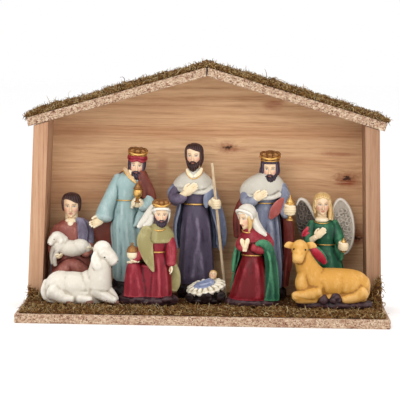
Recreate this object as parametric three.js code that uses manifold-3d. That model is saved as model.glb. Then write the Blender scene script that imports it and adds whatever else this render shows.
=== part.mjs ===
// A wooden nativity stable with ten loose ceramic figures and a wooden staff.
// Millimetres, +X to the right, +Y to the back, +Z up. The origin is the middle of the underside.
import * as THREE from "three";
import { mergeVertices } from "three/addons/utils/BufferGeometryUtils.js";
import Module from "manifold-3d";

const wasm = await Module();
wasm.setup();

// Driving sizes of the stable
const BOARD_WIDTH = 300;
const BOARD_DEPTH = 120;
const BOARD_THICKNESS = 7.5;
const SHELTER_DEPTH = 44;
const PANEL_THICKNESS = 5;
const WALL_THICKNESS = 12;
const WALL_SPLAY = 4.5;
const ROOF_THICKNESS = 7.5;
const ROOF_PITCH = THREE.MathUtils.degToRad(16.4);
const ROOF_OVERHANG_FRONT = 2;
const ROOF_END_INSET = 2.5;
const WALL_TOP_INSET = 7;
const APEX_HEIGHT = 196;
const JOINT_GAP = 0.3;

// Nails: the same size everywhere
const NAIL_RADIUS = 0.7;
const NAIL_HEAD_RADIUS = 1.4;
const NAIL_HEAD_HEIGHT = 0.6;
const NAIL_TIP = 1.6;
const NAIL_LENGTH = 20;
const NAIL_SIDES = 6;
const NAIL_EDGE = 11;

// Moss
const MOSS_MARGIN = 3;
const MOSS_UNDER_FIGURES = 2.5;
const MOSS_FRONT_STRIP = 24;
const MOSS_FRONT_RISE = 2.5;
const ROOF_MOSS = 4.2;
const ROOF_MOSS_RISE = 1.4;
const ROOF_MOSS_EDGE = 8;
const RIDGE_MOSS_SHARE = 0.7;
const RIDGE_MOSS_REACH = 45;
const MOSS_CLUMP_DEPTH = 10;
const MOSS_WAVE = 17;

// Rings of points: a robe, a sleeve, a hollow, and a ball's turns and levels
const ROBE_SIDES = 11;
const LIMB_SIDES = 6;
const HOLLOW_SIDES = 6;
const BALL_TURNS = 8;
const BALL_LEVELS = 5;

// Figures
const CERAMIC_WALL = 3;
const VENT_RADIUS = 4.5;
const SEAT_GAP = 0.3;
const STAFF_RADIUS = 1.3;
const STAFF_LENGTH = 113;
const STAFF_LEAN = THREE.MathUtils.degToRad(6.6);
const HAND_HOLE_GAP = 0.3;
const FIST = { x: 15, y: -13.5, z: 79.5 };
const BACK_ROW_FROM_PANEL = 24;
const FRONT_ROW_FROM_EDGE = 46;
// The room between the walls, and from front edge to panel, that full-size figures need
const FIGURES_ROOM_WIDTH = 262;
const FIGURES_ROOM_DEPTH = 115;

// Places worked out from the sizes above
const backY = BOARD_DEPTH / 2;
const panelY = backY - PANEL_THICKNESS;
const wallY = panelY - SHELTER_DEPTH;
const wallTopX = BOARD_WIDTH / 2 - WALL_TOP_INSET;
const wallFootX = wallTopX + WALL_SPLAY;
const floorZ = BOARD_THICKNESS;
const mossZ = floorZ + MOSS_UNDER_FIGURES;
const slope = Math.tan(ROOF_PITCH);
const roofUnderside = (x) => APEX_HEIGHT - Math.abs(x) * slope;
const roofEndX = BOARD_WIDTH / 2 - ROOF_END_INSET;

// Materials
const paint = (color, roughness = 0.6, metalness = 0) =>
  new THREE.MeshStandardMaterial({ color, roughness, metalness });
const CHIPBOARD = paint(0xcfae92, 0.9);
const SOFTWOOD = paint(0xc49a72, 0.75);
const MOSS = paint(0x7d7340, 1);
const STEEL = paint(0x8d9094, 0.4, 1);

// Turns a closed geometry into a solid that can be joined and cut. A mirrored one is turned
// inside out, so its faces are flipped.
function solidOf(geometry, mirrored = false) {
  const bare = geometry.clone();
  bare.deleteAttribute("normal");
  bare.deleteAttribute("uv");
  const merged = mergeVertices(bare, 1e-4);
  const corners = merged.index.array;
  const faces = [];
  for (let i = 0; i < corners.length; i += 3) {
    const [a, b, c] = [corners[i], corners[i + 1], corners[i + 2]];
    const flat = a === b || b === c || c === a;
    if (!flat) faces.push(a, ...(mirrored ? [c, b] : [b, c]));
  }
  return new wasm.Manifold(
    new wasm.Mesh({
      numProp: 3,
      vertProperties: new Float32Array(merged.attributes.position.array),
      triVerts: new Uint32Array(faces),
    }),
  );
}

function geometryOf(solid) {
  const { vertProperties, triVerts, numProp } = solid.getMesh();
  const places = new Float32Array((vertProperties.length / numProp) * 3);
  for (let i = 0; i < places.length / 3; i++) {
    places.set(vertProperties.subarray(i * numProp, i * numProp + 3), i * 3);
  }
  const geometry = new THREE.BufferGeometry();
  geometry.setAttribute("position", new THREE.BufferAttribute(places, 3));
  geometry.setIndex(new THREE.BufferAttribute(triVerts, 1));
  geometry.computeVertexNormals();
  return geometry;
}

const join = (...solids) => solids.flat(Infinity).reduce((all, one) => all.add(one));

// Skins a stack of rings, each a list of points, into one closed solid.
function skin(rings) {
  const sides = rings[0].length;
  const points = rings.flat();
  const faces = [];
  for (let level = 0; level + 1 < rings.length; level++) {
    for (let i = 0; i < sides; i++) {
      const a = level * sides + i;
      const b = level * sides + ((i + 1) % sides);
      faces.push(a, b, b + sides, a, b + sides, a + sides);
    }
  }
  const last = (rings.length - 1) * sides;
  for (let i = 1; i + 1 < sides; i++) {
    faces.push(0, i + 1, i);
    faces.push(last, last + i, last + i + 1);
  }
  const geometry = new THREE.BufferGeometry().setFromPoints(points);
  geometry.setIndex(faces);
  return solidOf(geometry);
}

// An upright form through levels [height, half width, half depth, x, y].
function loft(levels, sides = ROBE_SIDES) {
  return skin(
    levels.map(([z, halfWidth, halfDepth, x = 0, y = 0]) =>
      Array.from({ length: sides }, (_, i) => {
        const turn = (i / sides) * 2 * Math.PI;
        return new THREE.Vector3(
          x + halfWidth * Math.cos(turn),
          y + halfDepth * Math.sin(turn),
          z,
        );
      }),
    ),
  );
}

// A sleeve, leg or fold through stations [x, y, z, radius, radius across].
function limb(stations, sides = LIMB_SIDES) {
  const places = stations.map(([x, y, z]) => new THREE.Vector3(x, y, z));
  const rings = stations.map(([, , , radius, across = radius], i) => {
    const before = places[Math.max(i - 1, 0)];
    const after = places[Math.min(i + 1, places.length - 1)];
    const along = after.clone().sub(before).normalize();
    const depth = new THREE.Vector3(0, 1, 0);
    if (Math.abs(along.y) > 0.9) depth.set(1, 0, 0);
    const side = new THREE.Vector3().crossVectors(depth, along).normalize();
    depth.crossVectors(along, side);
    return Array.from({ length: sides }, (_, k) => {
      const turn = (k / sides) * 2 * Math.PI;
      return places[i]
        .clone()
        .addScaledVector(side, radius * Math.cos(turn))
        .addScaledVector(depth, across * Math.sin(turn));
    });
  });
  return skin(rings);
}

function ball(x, y, z, rx, ry = rx, rz = rx) {
  const geometry = new THREE.SphereGeometry(1, BALL_TURNS, BALL_LEVELS);
  geometry.rotateX(Math.PI / 2).scale(rx, ry, rz).translate(x, y, z);
  return solidOf(geometry);
}

function box(low, high) {
  const size = high.map((v, i) => v - low[i]);
  const middle = high.map((v, i) => (v + low[i]) / 2);
  return solidOf(new THREE.BoxGeometry(...size).translate(...middle));
}

// A flat piece cut to an outline of [x, z] points, standing from yFront to yBack.
function boardOf(outline, yFront, yBack) {
  const shape = new THREE.Shape(outline.map(([x, z]) => new THREE.Vector2(x, z)));
  const geometry = new THREE.ExtrudeGeometry(shape, {
    depth: yBack - yFront,
    bevelEnabled: false,
  });
  geometry.rotateX(Math.PI / 2).translate(0, yBack, 0);
  return solidOf(geometry);
}

// A nail with its head at the origin and its point along -Z, and the hole that clears it.
function nailShape(clearance = 0) {
  const shank = NAIL_RADIUS + clearance;
  const headRadius = NAIL_HEAD_RADIUS + clearance;
  const headFoot = -NAIL_HEAD_HEIGHT - clearance;
  const mouth = clearance ? NAIL_HEAD_HEIGHT : 0;
  const profile = [
    [0, mouth],
    [headRadius, mouth],
    [headRadius, headFoot],
    [shank, headFoot],
    [shank, -NAIL_LENGTH + NAIL_TIP - clearance],
    [0, -NAIL_LENGTH - clearance],
  ];
  return turned(profile.reverse(), NAIL_SIDES);
}

// Nails: name, head place, and the turn that aims the point
const nails = [];
const wallMiddleX = (z) => {
  const share = (z - floorZ) / (roofUnderside(wallTopX) - floorZ);
  return wallFootX - WALL_SPLAY * share - WALL_THICKNESS / 2;
};
for (const [side, sign] of [["left", -1], ["right", 1]]) {
  for (const [row, y] of [["front", wallY + NAIL_EDGE], ["rear", panelY - NAIL_EDGE]]) {
    nails.push({
      name: `floor_nail_${side}_${row}`,
      place: [sign * (wallFootX - WALL_THICKNESS / 2), y, 0],
      turn: [Math.PI, 0, 0],
    });
    const along = (wallTopX - WALL_THICKNESS / 3) / Math.cos(ROOF_PITCH);
    const headX = along * Math.cos(ROOF_PITCH) + ROOF_THICKNESS * Math.sin(ROOF_PITCH);
    const headZ =
      APEX_HEIGHT - along * Math.sin(ROOF_PITCH) + ROOF_THICKNESS * Math.cos(ROOF_PITCH);
    nails.push({
      name: `roof_nail_${side}_${row}`,
      place: [sign * headX, y, headZ],
      turn: [0, sign * ROOF_PITCH, 0],
    });
  }
  const wallTop = roofUnderside(wallTopX);
  for (const [row, z] of [
    ["low", floorZ + 2 * NAIL_EDGE],
    ["middle", (floorZ + wallTop) / 2],
    ["high", wallTop - 2 * NAIL_EDGE],
  ]) {
    nails.push({
      name: `panel_nail_${side}_${row}`,
      place: [sign * wallMiddleX(z), backY, z],
      turn: [-Math.PI / 2, 0, 0],
    });
  }
}

function nailSolid({ place, turn }, clearance = 0) {
  const matrix = new THREE.Matrix4().makeRotationFromEuler(new THREE.Euler(...turn));
  matrix.setPosition(...place);
  return solidOf(nailShape(clearance).applyMatrix4(matrix));
}
const nailHoles = nails.map((nail) => nailSolid(nail, JOINT_GAP));
const drilled = (solid) => nailHoles.reduce((rest, hole) => rest.subtract(hole), solid);

// The stable's boards
function floorBoard() {
  const half = BOARD_WIDTH / 2;
  return drilled(box([-half, -BOARD_DEPTH / 2, 0], [half, backY, BOARD_THICKNESS]));
}

function sideWall(sign) {
  const footOut = wallFootX;
  const topOut = wallTopX;
  const outline = [
    [sign * footOut, floorZ],
    [sign * topOut, roofUnderside(topOut) - JOINT_GAP],
    [sign * (topOut - WALL_THICKNESS), roofUnderside(topOut - WALL_THICKNESS) - JOINT_GAP],
    [sign * (footOut - WALL_THICKNESS), floorZ],
  ];
  return drilled(boardOf(outline, wallY, panelY));
}

function backPanel() {
  const outline = [
    [-wallFootX, floorZ],
    [wallFootX, floorZ],
    [wallTopX, roofUnderside(wallTopX) - JOINT_GAP],
    [0, APEX_HEIGHT - JOINT_GAP],
    [-wallTopX, roofUnderside(wallTopX) - JOINT_GAP],
  ];
  return drilled(boardOf(outline, panelY, backY));
}

function roofBoard(sign) {
  const rise = ROOF_THICKNESS / Math.cos(ROOF_PITCH);
  const outX = ROOF_THICKNESS * Math.sin(ROOF_PITCH);
  const outZ = ROOF_THICKNESS * Math.cos(ROOF_PITCH);
  const ridgeX = JOINT_GAP / 2;
  const outline = [
    [sign * ridgeX, roofUnderside(ridgeX)],
    [sign * roofEndX, roofUnderside(roofEndX)],
    [sign * (roofEndX + outX), roofUnderside(roofEndX) + outZ],
    [sign * ridgeX, roofUnderside(ridgeX) + rise],
  ];
  return drilled(boardOf(outline, wallY - ROOF_OVERHANG_FRONT, backY));
}

// Moss: a slab whose top rises and falls
const waves = (a, b) =>
  0.5 * Math.sin(a / MOSS_WAVE * 3.1 + b * 0.21) +
  0.3 * Math.sin(a / MOSS_WAVE * 7.3 - b * 0.37) +
  0.2 * Math.cos(b / MOSS_WAVE * 5.9 + a * 0.11);

// A slab over a rectangle of (u, v) whose top follows height(u, v), with its foot at 0.
function moundSlab([u0, u1], [v0, v1], [stepsU, stepsV], height) {
  const geometry = new THREE.BoxGeometry(1, 1, 1, stepsU, stepsV, 1);
  const places = geometry.attributes.position;
  for (let i = 0; i < places.count; i++) {
    const u = u0 + (u1 - u0) * (places.getX(i) + 0.5);
    const v = v0 + (v1 - v0) * (places.getY(i) + 0.5);
    places.setXYZ(i, u, v, places.getZ(i) > 0 ? height(u, v) : 0);
  }
  return geometry;
}

function mossClump(sign, halfWidth, rise) {
  const x = sign * (BOARD_WIDTH / 2 - MOSS_MARGIN / 2 - halfWidth);
  const half = MOSS_CLUMP_DEPTH / 2;
  const y = wallY - JOINT_GAP - half;
  return loft(
    [
      [floorZ, halfWidth, half, x, y],
      [floorZ + rise * 0.35, halfWidth * 0.9, half * 0.9, x, y],
      [floorZ + rise * 0.75, halfWidth * 0.5, half * 0.7, x + sign * halfWidth * 0.3, y + 1],
      [floorZ + rise, halfWidth * 0.15, half * 0.3, x + sign * halfWidth * 0.5, y + 2],
    ],
  );
}

function floorMoss() {
  const halfWidth = BOARD_WIDTH / 2 - MOSS_MARGIN;
  const frontY = -BOARD_DEPTH / 2 + MOSS_MARGIN;
  const stripY = frontY + MOSS_FRONT_STRIP;
  const behindY = wallY - JOINT_GAP;
  const innerX = wallMiddleX(mossZ) - WALL_THICKNESS / 2 - JOINT_GAP;
  const edge = (u, v) =>
    Math.min(1, (halfWidth - Math.abs(u)) / MOSS_MARGIN, (v - frontY) / MOSS_MARGIN);
  const front = moundSlab([-halfWidth, halfWidth], [frontY, stripY], [22, 3], (u, v) => {
    const fade = Math.min(1, (stripY - v) / MOSS_MARGIN);
    const bump = MOSS_FRONT_RISE * (0.6 + 0.5 * waves(u, v)) * fade;
    return MOSS_UNDER_FIGURES * (0.5 + 0.5 * edge(u, v)) + bump * edge(u, v);
  });
  return join(
    solidOf(front.translate(0, 0, floorZ)),
    box([-halfWidth, stripY - 0.01, floorZ], [halfWidth, behindY, mossZ]),
    box([-innerX, behindY - 0.01, floorZ], [innerX, panelY - JOINT_GAP, mossZ]),
    mossClump(-1, 9, 11),
    mossClump(1, 6.5, 25),
  );
}

function roofMoss(sign) {
  const length = roofEndX / Math.cos(ROOF_PITCH);
  const [frontY, rearY] = [wallY - ROOF_OVERHANG_FRONT + 1, backY - 1];
  const pastRidge = (ROOF_THICKNESS + ROOF_MOSS + 2 * ROOF_MOSS_RISE) * slope;
  const slab = moundSlab([-pastRidge, length], [frontY, rearY], [18, 4], (u, v) => {
    const toEdge = Math.min(length - u, v - frontY, rearY - v);
    const full = Math.min(1, toEdge / ROOF_MOSS_EDGE);
    const fromRidge = Math.min(1, Math.abs(u) / RIDGE_MOSS_REACH);
    const worn = RIDGE_MOSS_SHARE + (1 - RIDGE_MOSS_SHARE) * fromRidge;
    return worn * (ROOF_MOSS * (0.5 + 0.5 * full) + ROOF_MOSS_RISE * waves(u * sign, v) * full);
  });
  const places = slab.attributes.position;
  for (let i = 0; i < places.count; i++) {
    const along = places.getX(i);
    const up = places.getZ(i) + ROOF_THICKNESS + JOINT_GAP;
    const x = along * Math.cos(ROOF_PITCH) + up * Math.sin(ROOF_PITCH);
    const z = APEX_HEIGHT - along * Math.sin(ROOF_PITCH) + up * Math.cos(ROOF_PITCH);
    places.setXYZ(i, sign * x, places.getY(i), z);
  }
  const far = sign * BOARD_WIDTH;
  const near = sign * JOINT_GAP / 2;
  const side = box(
    [Math.min(near, far), -BOARD_DEPTH, 0],
    [Math.max(near, far), BOARD_DEPTH, 2 * APEX_HEIGHT],
  );
  return solidOf(slab, sign < 0).intersect(side);
}

// Figures are drawn from the middle of the foot, with z up from what they stand on.
function turned(profile, sides) {
  const outline = profile.map(([r, z]) => new THREE.Vector2(r, z));
  return new THREE.LatheGeometry(outline, sides).rotateX(Math.PI / 2);
}

// The hollow that slip casting leaves inside a form, with the vent under it.
function castHollow(levels, ventX, ventY = 0) {
  const inside = levels.map(([z, halfWidth, halfDepth, x, y]) => [
    z,
    halfWidth - CERAMIC_WALL,
    halfDepth - CERAMIC_WALL,
    x,
    y,
  ]);
  const vent = [-1, CERAMIC_WALL + 1].map((z) => [z, VENT_RADIUS, VENT_RADIUS, ventX, ventY]);
  return join(loft(inside, HOLLOW_SIDES), loft(vent, HOLLOW_SIDES));
}

function cast(forms, hollow) {
  const reach = BOARD_WIDTH;
  const ground = box([-reach, -reach, 0], [reach, reach, reach]);
  return join(forms).intersect(ground).subtract(hollow);
}

const foot = (halfWidth, halfDepth, height, x = 0, y = 0) =>
  loft(
    [
      [0, halfWidth - 1, halfDepth - 1, x, y],
      [height * 0.4, halfWidth, halfDepth, x, y],
      [height, halfWidth - 1.5, halfDepth - 1.5, x, y],
    ],
  );

// A plain head with hair behind it, by its middle and half height.
function head(x, y, z, halfHeight, hairWidth) {
  const face = halfHeight * 0.72;
  return [
    ball(x, y - 1, z, face * 0.86, face * 0.95, halfHeight * 0.95),
    ball(x, y + 1.5, z + halfHeight * 0.18, hairWidth, hairWidth * 0.9, halfHeight * 0.85),
    limb([[x, y + 1, z - halfHeight * 1.5, face * 0.7], [x, y, z, face * 0.6]]),
  ];
}

const beard = (x, y, z, size) => ball(x, y - size * 0.5, z, size, size * 0.8, size * 1.05);

function crown(x, y, z, radius, height) {
  return loft(
    [
      [z, radius * 0.92, radius * 0.92, x, y],
      [z + height * 0.35, radius, radius, x, y],
      [z + height * 0.75, radius * 0.97, radius * 0.97, x, y],
      [z + height, radius * 0.6, radius * 0.6, x, y],
    ],
  );
}

function giftJar(x, y, z, radius, height) {
  const profile = [
    [0, 0],
    [radius * 0.7, 0],
    [radius * 0.45, height * 0.15],
    [radius, height * 0.4],
    [radius * 0.7, height * 0.62],
    [radius * 0.95, height * 0.66],
    [radius * 0.5, height * 0.86],
    [0, height],
  ];
  return solidOf(turned(profile, BALL_TURNS).translate(x, y, z));
}

function shepherd() {
  const robe = [
    [5, 16.5, 14.5, -1, 0],
    [16, 16.3, 14, -0.5, 0],
    [32, 16, 12, -1, 0],
    [46, 15, 11, -2, 0],
    [55, 15, 10, -2.2, 0],
    [59, 12.2, 8.8, -1.8, 0],
    [62, 8.6, 7.4, -1.2, 0],
    [65, 4.8, 5, -0.6, 0],
  ];
  return cast(
    [
      foot(18, 15.5, 5.5, -1),
      loft(robe),
      head(-0.6, -1, 73.5, 11, 8.2),
      limb([[-13, -2, 50, 5.5], [-15, -5, 36, 5.5], [-9, -13, 31, 4.5]]),
      limb([[9, -1, 50, 5.5], [10.5, -4, 36, 5], [6, -12, 31, 4]]),
      lamb(),
    ],
    castHollow([[CERAMIC_WALL, 14, 13, -1, 0], robe[1], robe[3], robe[4]], -1),
  );
}

function lamb() {
  return [
    ball(-1, -12, 38, 14.5, 7, 8),
    limb([[-8, -13, 42, 6.5], [-13, -14, 46.5, 5.8], [-17, -15, 44.5, 3]]),
    limb([[-14.5, -14, 41, 2.6], [-15, -14.5, 30, 2.8], [-13, -14, 21, 2]]),
    ball(-8.8, -17.5, 32.5, 4, 3, 4.5),
  ];
}

function kingLightBlue() {
  const robe = [
    [6, 14.5, 13.5, 1.5, 0],
    [13, 12.6, 12.5, 2.6, 0],
    [36, 12.6, 12, 2.8, 0],
    [60, 13.2, 11.5, 2, 0],
    [80, 12.4, 10, 1.6, 0],
    [92, 15.5, 10, 2.5, 0],
    [99, 14, 8.5, 3.5, 0],
    [103, 8, 6.5, 7, 0],
  ];
  return cast(
    [
      foot(18, 17.5, 7),
      loft(robe),
      head(10.7, -2, 109, 10.5, 6.6),
      beard(10.4, -4.5, 101.5, 5),
      loft([[111, 6.6, 6.6, 10.6, -1.5], [115, 7.4, 7.2, 10.6, -1.5], [119.5, 6.6, 6.6, 10.7, -1.5]]),
      crown(10.8, -1.5, 119, 7.3, 6.2),
      limb([[-7, 0, 96, 6.5], [-14, -3, 82, 6.8], [-19, -6, 72, 6.8], [-22.5, -8, 65, 6]]),
      limb([[-22, -8, 67, 4], [-25, -9, 60, 4.6], [-26.5, -9.5, 56, 2.5]]),
      limb([[-16, 3, 68, 6, 3], [-18, 3, 52, 8.5, 3], [-13.5, 3, 38, 6, 3]]),
      limb([[15, 0, 96, 6], [19, -3, 84, 6], [15, -11, 77, 5], [11.5, -14, 77, 4.5]]),
      limb([[18, -4, 82, 5], [16, -4, 68, 5], [12, -3, 56, 4]]),
      giftJar(11, -15, 78, 3.6, 18),
    ],
    castHollow([[CERAMIC_WALL, 14, 13.5, 1, 0], robe[1], robe[3], robe[4], robe[5]], 1),
  );
}

function kingDarkBlue() {
  const robe = [
    [7, 15, 13.5, 0, 0],
    [30, 15, 13, 0, 0],
    [60, 13.5, 11.5, -1, 0],
    [78, 11.8, 10.2, -1.5, 0],
    [90, 15.3, 10, -2, 0],
    [97, 12.5, 8.5, -1, 0],
    [102, 6.5, 6.5, 1.5, 0],
  ];
  const cloak = [
    [12, 19.5, 7.5, 1, 5],
    [40, 22.3, 8, 0.3, 5],
    [58, 24.7, 8, -2, 4],
    [76, 19, 7.5, -2, 3],
    [90, 13, 6, -1.5, 2],
  ];
  return cast(
    [
      foot(18, 16.5, 8),
      loft(robe),
      loft(cloak),
      head(3.4, -2, 108, 10.5, 7.8),
      beard(3.4, -4.5, 101, 5.2),
      crown(4, -1.5, 115.5, 7.8, 9.8),
      limb([[-13, 0, 92, 6], [-19, -5, 80, 6.3], [-11, -11, 81, 5.5], [-3, -12.5, 86.5, 3.6]]),
      ball(-1.5, -12.5, 88, 5.5, 3, 4),
      limb([[11, 0, 91, 6], [15.5, -4, 78, 6], [17.5, -10, 73, 5], [19, -14, 72, 4.5]]),
      limb([[3, -10, 66, 3], [8, -11, 75, 5], [13, -10.5, 82, 3]]),
      giftJar(18.9, -14, 65.5, 4.6, 21.5),
    ],
    castHollow([[CERAMIC_WALL, 15, 13, 0, 0], robe[1], robe[2], robe[3], robe[4]], 0),
  );
}

function father() {
  const robe = [
    [8, 15.8, 14, -1.5, 0],
    [30, 16, 13.5, -2.4, 0],
    [52, 14, 12.5, -3, 0],
    [77, 10.8, 10, -4, 0],
    [86, 14, 10.2, -4, 0],
    [92, 16.6, 9.8, -4.4, 0],
    [97, 15.8, 9.4, -4.4, 0],
    [101, 13.2, 8.6, -4.4, 0],
    [105, 8, 7, -4.6, 0],
  ];
  const cloak = [
    [38, 20, 6.5, 1.8, 6.5],
    [44, 22, 7, 1.2, 6],
    [60, 20, 7.5, -0.5, 5],
    [75, 17.5, 7.5, -1.5, 4],
    [89, 14, 6, -3, 3],
  ];
  const body = cast(
    [
      foot(17, 16, 8.5, -1),
      loft(robe),
      loft(cloak),
      head(-4.8, -2, 117.5, 11.3, 7.7),
      beard(-5.6, -4.5, 108.5, 5.2),
      limb([[-15, 0, 94, 6], [-21.5, -4, 83.5, 6.3], [-15, -10.5, 83.5, 5.5], [-9, -12.5, 88, 4]]),
      ball(-6, -12.5, 91.5, 5.8, 3, 4.6),
      limb([[8, 0, 91, 6.5], [12, -4, 80, 6.5], [14.5, -10, 78.5, 5]]),
      ball(FIST.x, FIST.y, FIST.z, 5.2, 5, 5),
    ],
    castHollow([[CERAMIC_WALL, 14, 13, -1, 0], robe[1], robe[2], robe[3], robe[5]], -1),
  );
  return body.subtract(staffShape(STAFF_RADIUS + HAND_HOLE_GAP, 0));
}

// The staff leans in the front plane and passes through the fist.
function staffShape(radius, footGap) {
  const foot = FIST.z - SEAT_GAP - footGap;
  const ends = [foot, foot - STAFF_LENGTH];
  const stations = ends.map((below) => [
    FIST.x + below * Math.tan(STAFF_LEAN),
    FIST.y,
    FIST.z - below,
    radius,
  ]);
  return limb(stations, 8);
}
const staff = () => staffShape(STAFF_RADIUS, SEAT_GAP);

function angel() {
  const dress = [
    [5, 16.5, 14, 0, 0],
    [28, 14.6, 12, 0.5, 0],
    [45, 10.5, 9.5, 0, 0],
    [56, 13, 9.5, -1, 0],
    [62, 14, 9, -1.5, 0],
    [67, 11.5, 8, -2, 0],
    [71, 5, 5.2, -2.3, 0],
  ];
  return cast(
    [
      foot(17, 15, 5.5),
      loft(dress),
      head(-2.4, -1, 79.8, 9.8, 7.4),
      limb([[3, 2, 78, 4], [4, 2, 68, 4], [5, 0, 61, 2.5]]),
      limb([[-12, -1, 63, 5.5], [-16, -4, 52, 5.3], [-10, -10, 50, 4.5], [-3, -12, 57, 3]]),
      limb([[10, -1, 63, 5.5], [14, -4, 52, 5], [14.5, -10, 48, 4.5]]),
      ball(14.7, -11.5, 48, 4.6, 4, 4.8),
      limb([[-16, -7, 52, 3], [-9, -10.5, 43, 4.6], [-2, -11, 33, 3.5]]),
      wing(RIGHT_WING),
      wing(LEFT_WING),
    ],
    castHollow([[CERAMIC_WALL, 14, 12, 0, 0], dress[1], dress[2], dress[4]], 0),
  );
}

// A wing's outline of [x, z] points: the right one spreads, and the left one is half closed.
const RIGHT_WING = [
  [3, 56],
  [5, 74],
  [8, 82],
  [12, 83.5],
  [17, 79],
  [21.5, 70],
  [23.5, 59],
  [22.5, 47],
  [19, 39],
  [15, 35],
  [11, 40],
];
const LEFT_WING = [
  [-3, 54],
  [-9, 64],
  [-14, 76],
  [-18, 82],
  [-22.5, 83.5],
  [-26, 79],
  [-27, 70],
  [-25.5, 60],
  [-21, 49],
  [-13, 40],
];
const wing = (outline) => boardOf(outline, 5, 9.5);

function sheep() {
  const hollow = ball(-4, 0, 13, 25 - CERAMIC_WALL, 12.5 - CERAMIC_WALL, 12.5 - CERAMIC_WALL);
  const vent = loft([[-1, VENT_RADIUS, VENT_RADIUS, -4], [6, VENT_RADIUS, VENT_RADIUS, -4]], HOLLOW_SIDES);
  return cast(
    [
      ball(-4.5, 0, 12.5, 24.5, 13, 13),
      ball(13, 0, 13, 14.5, 11.5, 15),
      loft([[0, 23, 10.5, -2, 0], [8, 27, 13, -0.5, 0]]),
      limb([[15, -1, 16, 11], [16.5, -2, 28, 8.5], [17, -2, 40, 8]]),
      ball(17.5, -2.5, 42.5, 7.8, 7.5, 8.6),
      limb([[18, -3, 43, 7.5], [25.5, -3.5, 37, 6], [30, -4, 33.5, 4.2]]),
      limb([[13.5, -8.5, 39, 2.5], [13.5, -10, 33, 3.2], [14.5, -10, 27, 2.4]]),
      limb([[15, -8, 10, 5], [25, -8.5, 5, 4.5], [31, -8.5, 3, 3]]),
      limb([[-2, -12, 4, 3.5], [22, -12, 4, 4]]),
      limb([[-22, -8, 7, 6], [-8, -12, 4, 3.5]]),
      limb([[-25, 2, 16, 4], [-27, -1, 8, 3.4], [-25, -2, 3, 3]]),
    ],
    join(hollow, vent),
  );
}

function kingKneeling() {
  const robe = [
    [6, 18.5, 14, -2.2, 0],
    [20, 17, 13, -2, 0],
    [32, 15, 12, -1, 0],
    [42, 12, 10, 2, 0],
    [52, 14, 9.5, 3, 0],
    [60, 11.5, 8.5, 4.5, 0],
    [66, 6.5, 6.5, 6, 0],
  ];
  return cast(
    [
      foot(24.5, 15.5, 7, -1.5),
      loft(robe),
      ball(-16, -9, 7, 6, 4.5, 4),
      loft([[6, 9, 8, -12.5, -5], [26, 7.5, 7, -13.5, -5], [34, 6.5, 6, -13.5, -5.5]]),
      head(6.8, -2, 72, 9.8, 7.4),
      beard(7, -4.5, 66, 5),
      limb([[3, 0, 76, 6], [-5, 0, 67, 5, 6], [-11.5, 0, 61.5, 2.5, 5]]),
      crown(8, -1.5, 80.5, 6.8, 6.5),
      limb([[-5, -7, 54, 6, 4], [-3, -10, 38, 6, 4], [2, -11.5, 27, 2, 2]]),
      limb([[14, -2, 54, 5], [16, -6, 40, 5], [17, -8, 31, 4], [17.5, -8.5, 26, 3]]),
      limb([[19.5, -1, 27, 3], [20.5, -1, 16, 4.5], [20, -1, 6, 4.5]]),
      ball(-14.5, -10.5, 34, 4.5, 3.5, 4),
      giftJar(-15, -10.5, 33, 4.8, 15),
    ],
    castHollow([[CERAMIC_WALL, 17, 13, -2, 0], robe[1], robe[3], robe[4]], -2),
  );
}

function manger() {
  const hollow = loft([[CERAMIC_WALL, 10, 7], [10, 8, 5]], HOLLOW_SIDES);
  const vent = loft([[-1, VENT_RADIUS, VENT_RADIUS], [4, VENT_RADIUS, VENT_RADIUS]], HOLLOW_SIDES);
  return cast(
    [
      loft([[0, 13, 9], [4, 14.5, 10.5], [9, 14, 10]]),
      limb([[-15.5, 0, 8.5, 4, 8], [0, 0, 11, 5, 10.5], [16, 0, 14, 4, 8]]),
      limb([[1.7, -12, 4.5, 4], [1.7, -10, 4.5, 5], [1.7, 0, 5, 5]]),
      ball(-2.5, -1, 15.5, 9, 6.5, 3.5),
      ball(5.7, 3, 20.3, 4.3, 4.3, 4.3),
    ],
    join(hollow, vent),
  );
}

function mother() {
  const dress = [
    [5, 20, 14, 2, 0],
    [16, 18, 13, 2.7, 0],
    [28, 14.5, 11.5, 3, 0],
    [39, 9.8, 9, 1.5, 0],
    [48, 12, 9, 3, 0],
    [54, 11, 8.5, 3, 0],
    [59, 6, 6.5, -1.5, 0],
  ];
  return cast(
    [
      foot(22.5, 15, 5.5, 1),
      loft(dress),
      head(-5.6, -2.5, 70.5, 10.5, 7.6),
      ball(-3.5, 0.5, 74, 8.4, 8, 10),
      limb([[0, 2, 72, 5.5], [5, 1, 62, 6], [10, 0, 56, 4]]),
      limb([[11, 0, 52, 6], [15.5, -1, 40, 6.5], [16, -1, 22, 6.5], [14.5, -2, 5, 7.5]]),
      limb([[-9, 3, 50, 3.5], [-13, 4, 36, 4], [-15, 4, 25, 2.5]]),
      limb([[10, -3, 52, 5.5], [9, -8, 43, 5.5], [-2, -10.5, 46, 4.5]]),
      limb([[-8, -3, 52, 4.5], [-9, -7.5, 44, 4.5], [-6, -10, 47, 4]]),
      ball(-5.6, -11.5, 52, 4.4, 3, 5.2),
    ],
    castHollow([[CERAMIC_WALL, 17, 12.5, 1, 0], dress[1], dress[3], dress[5]], 1),
  );
}

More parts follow.
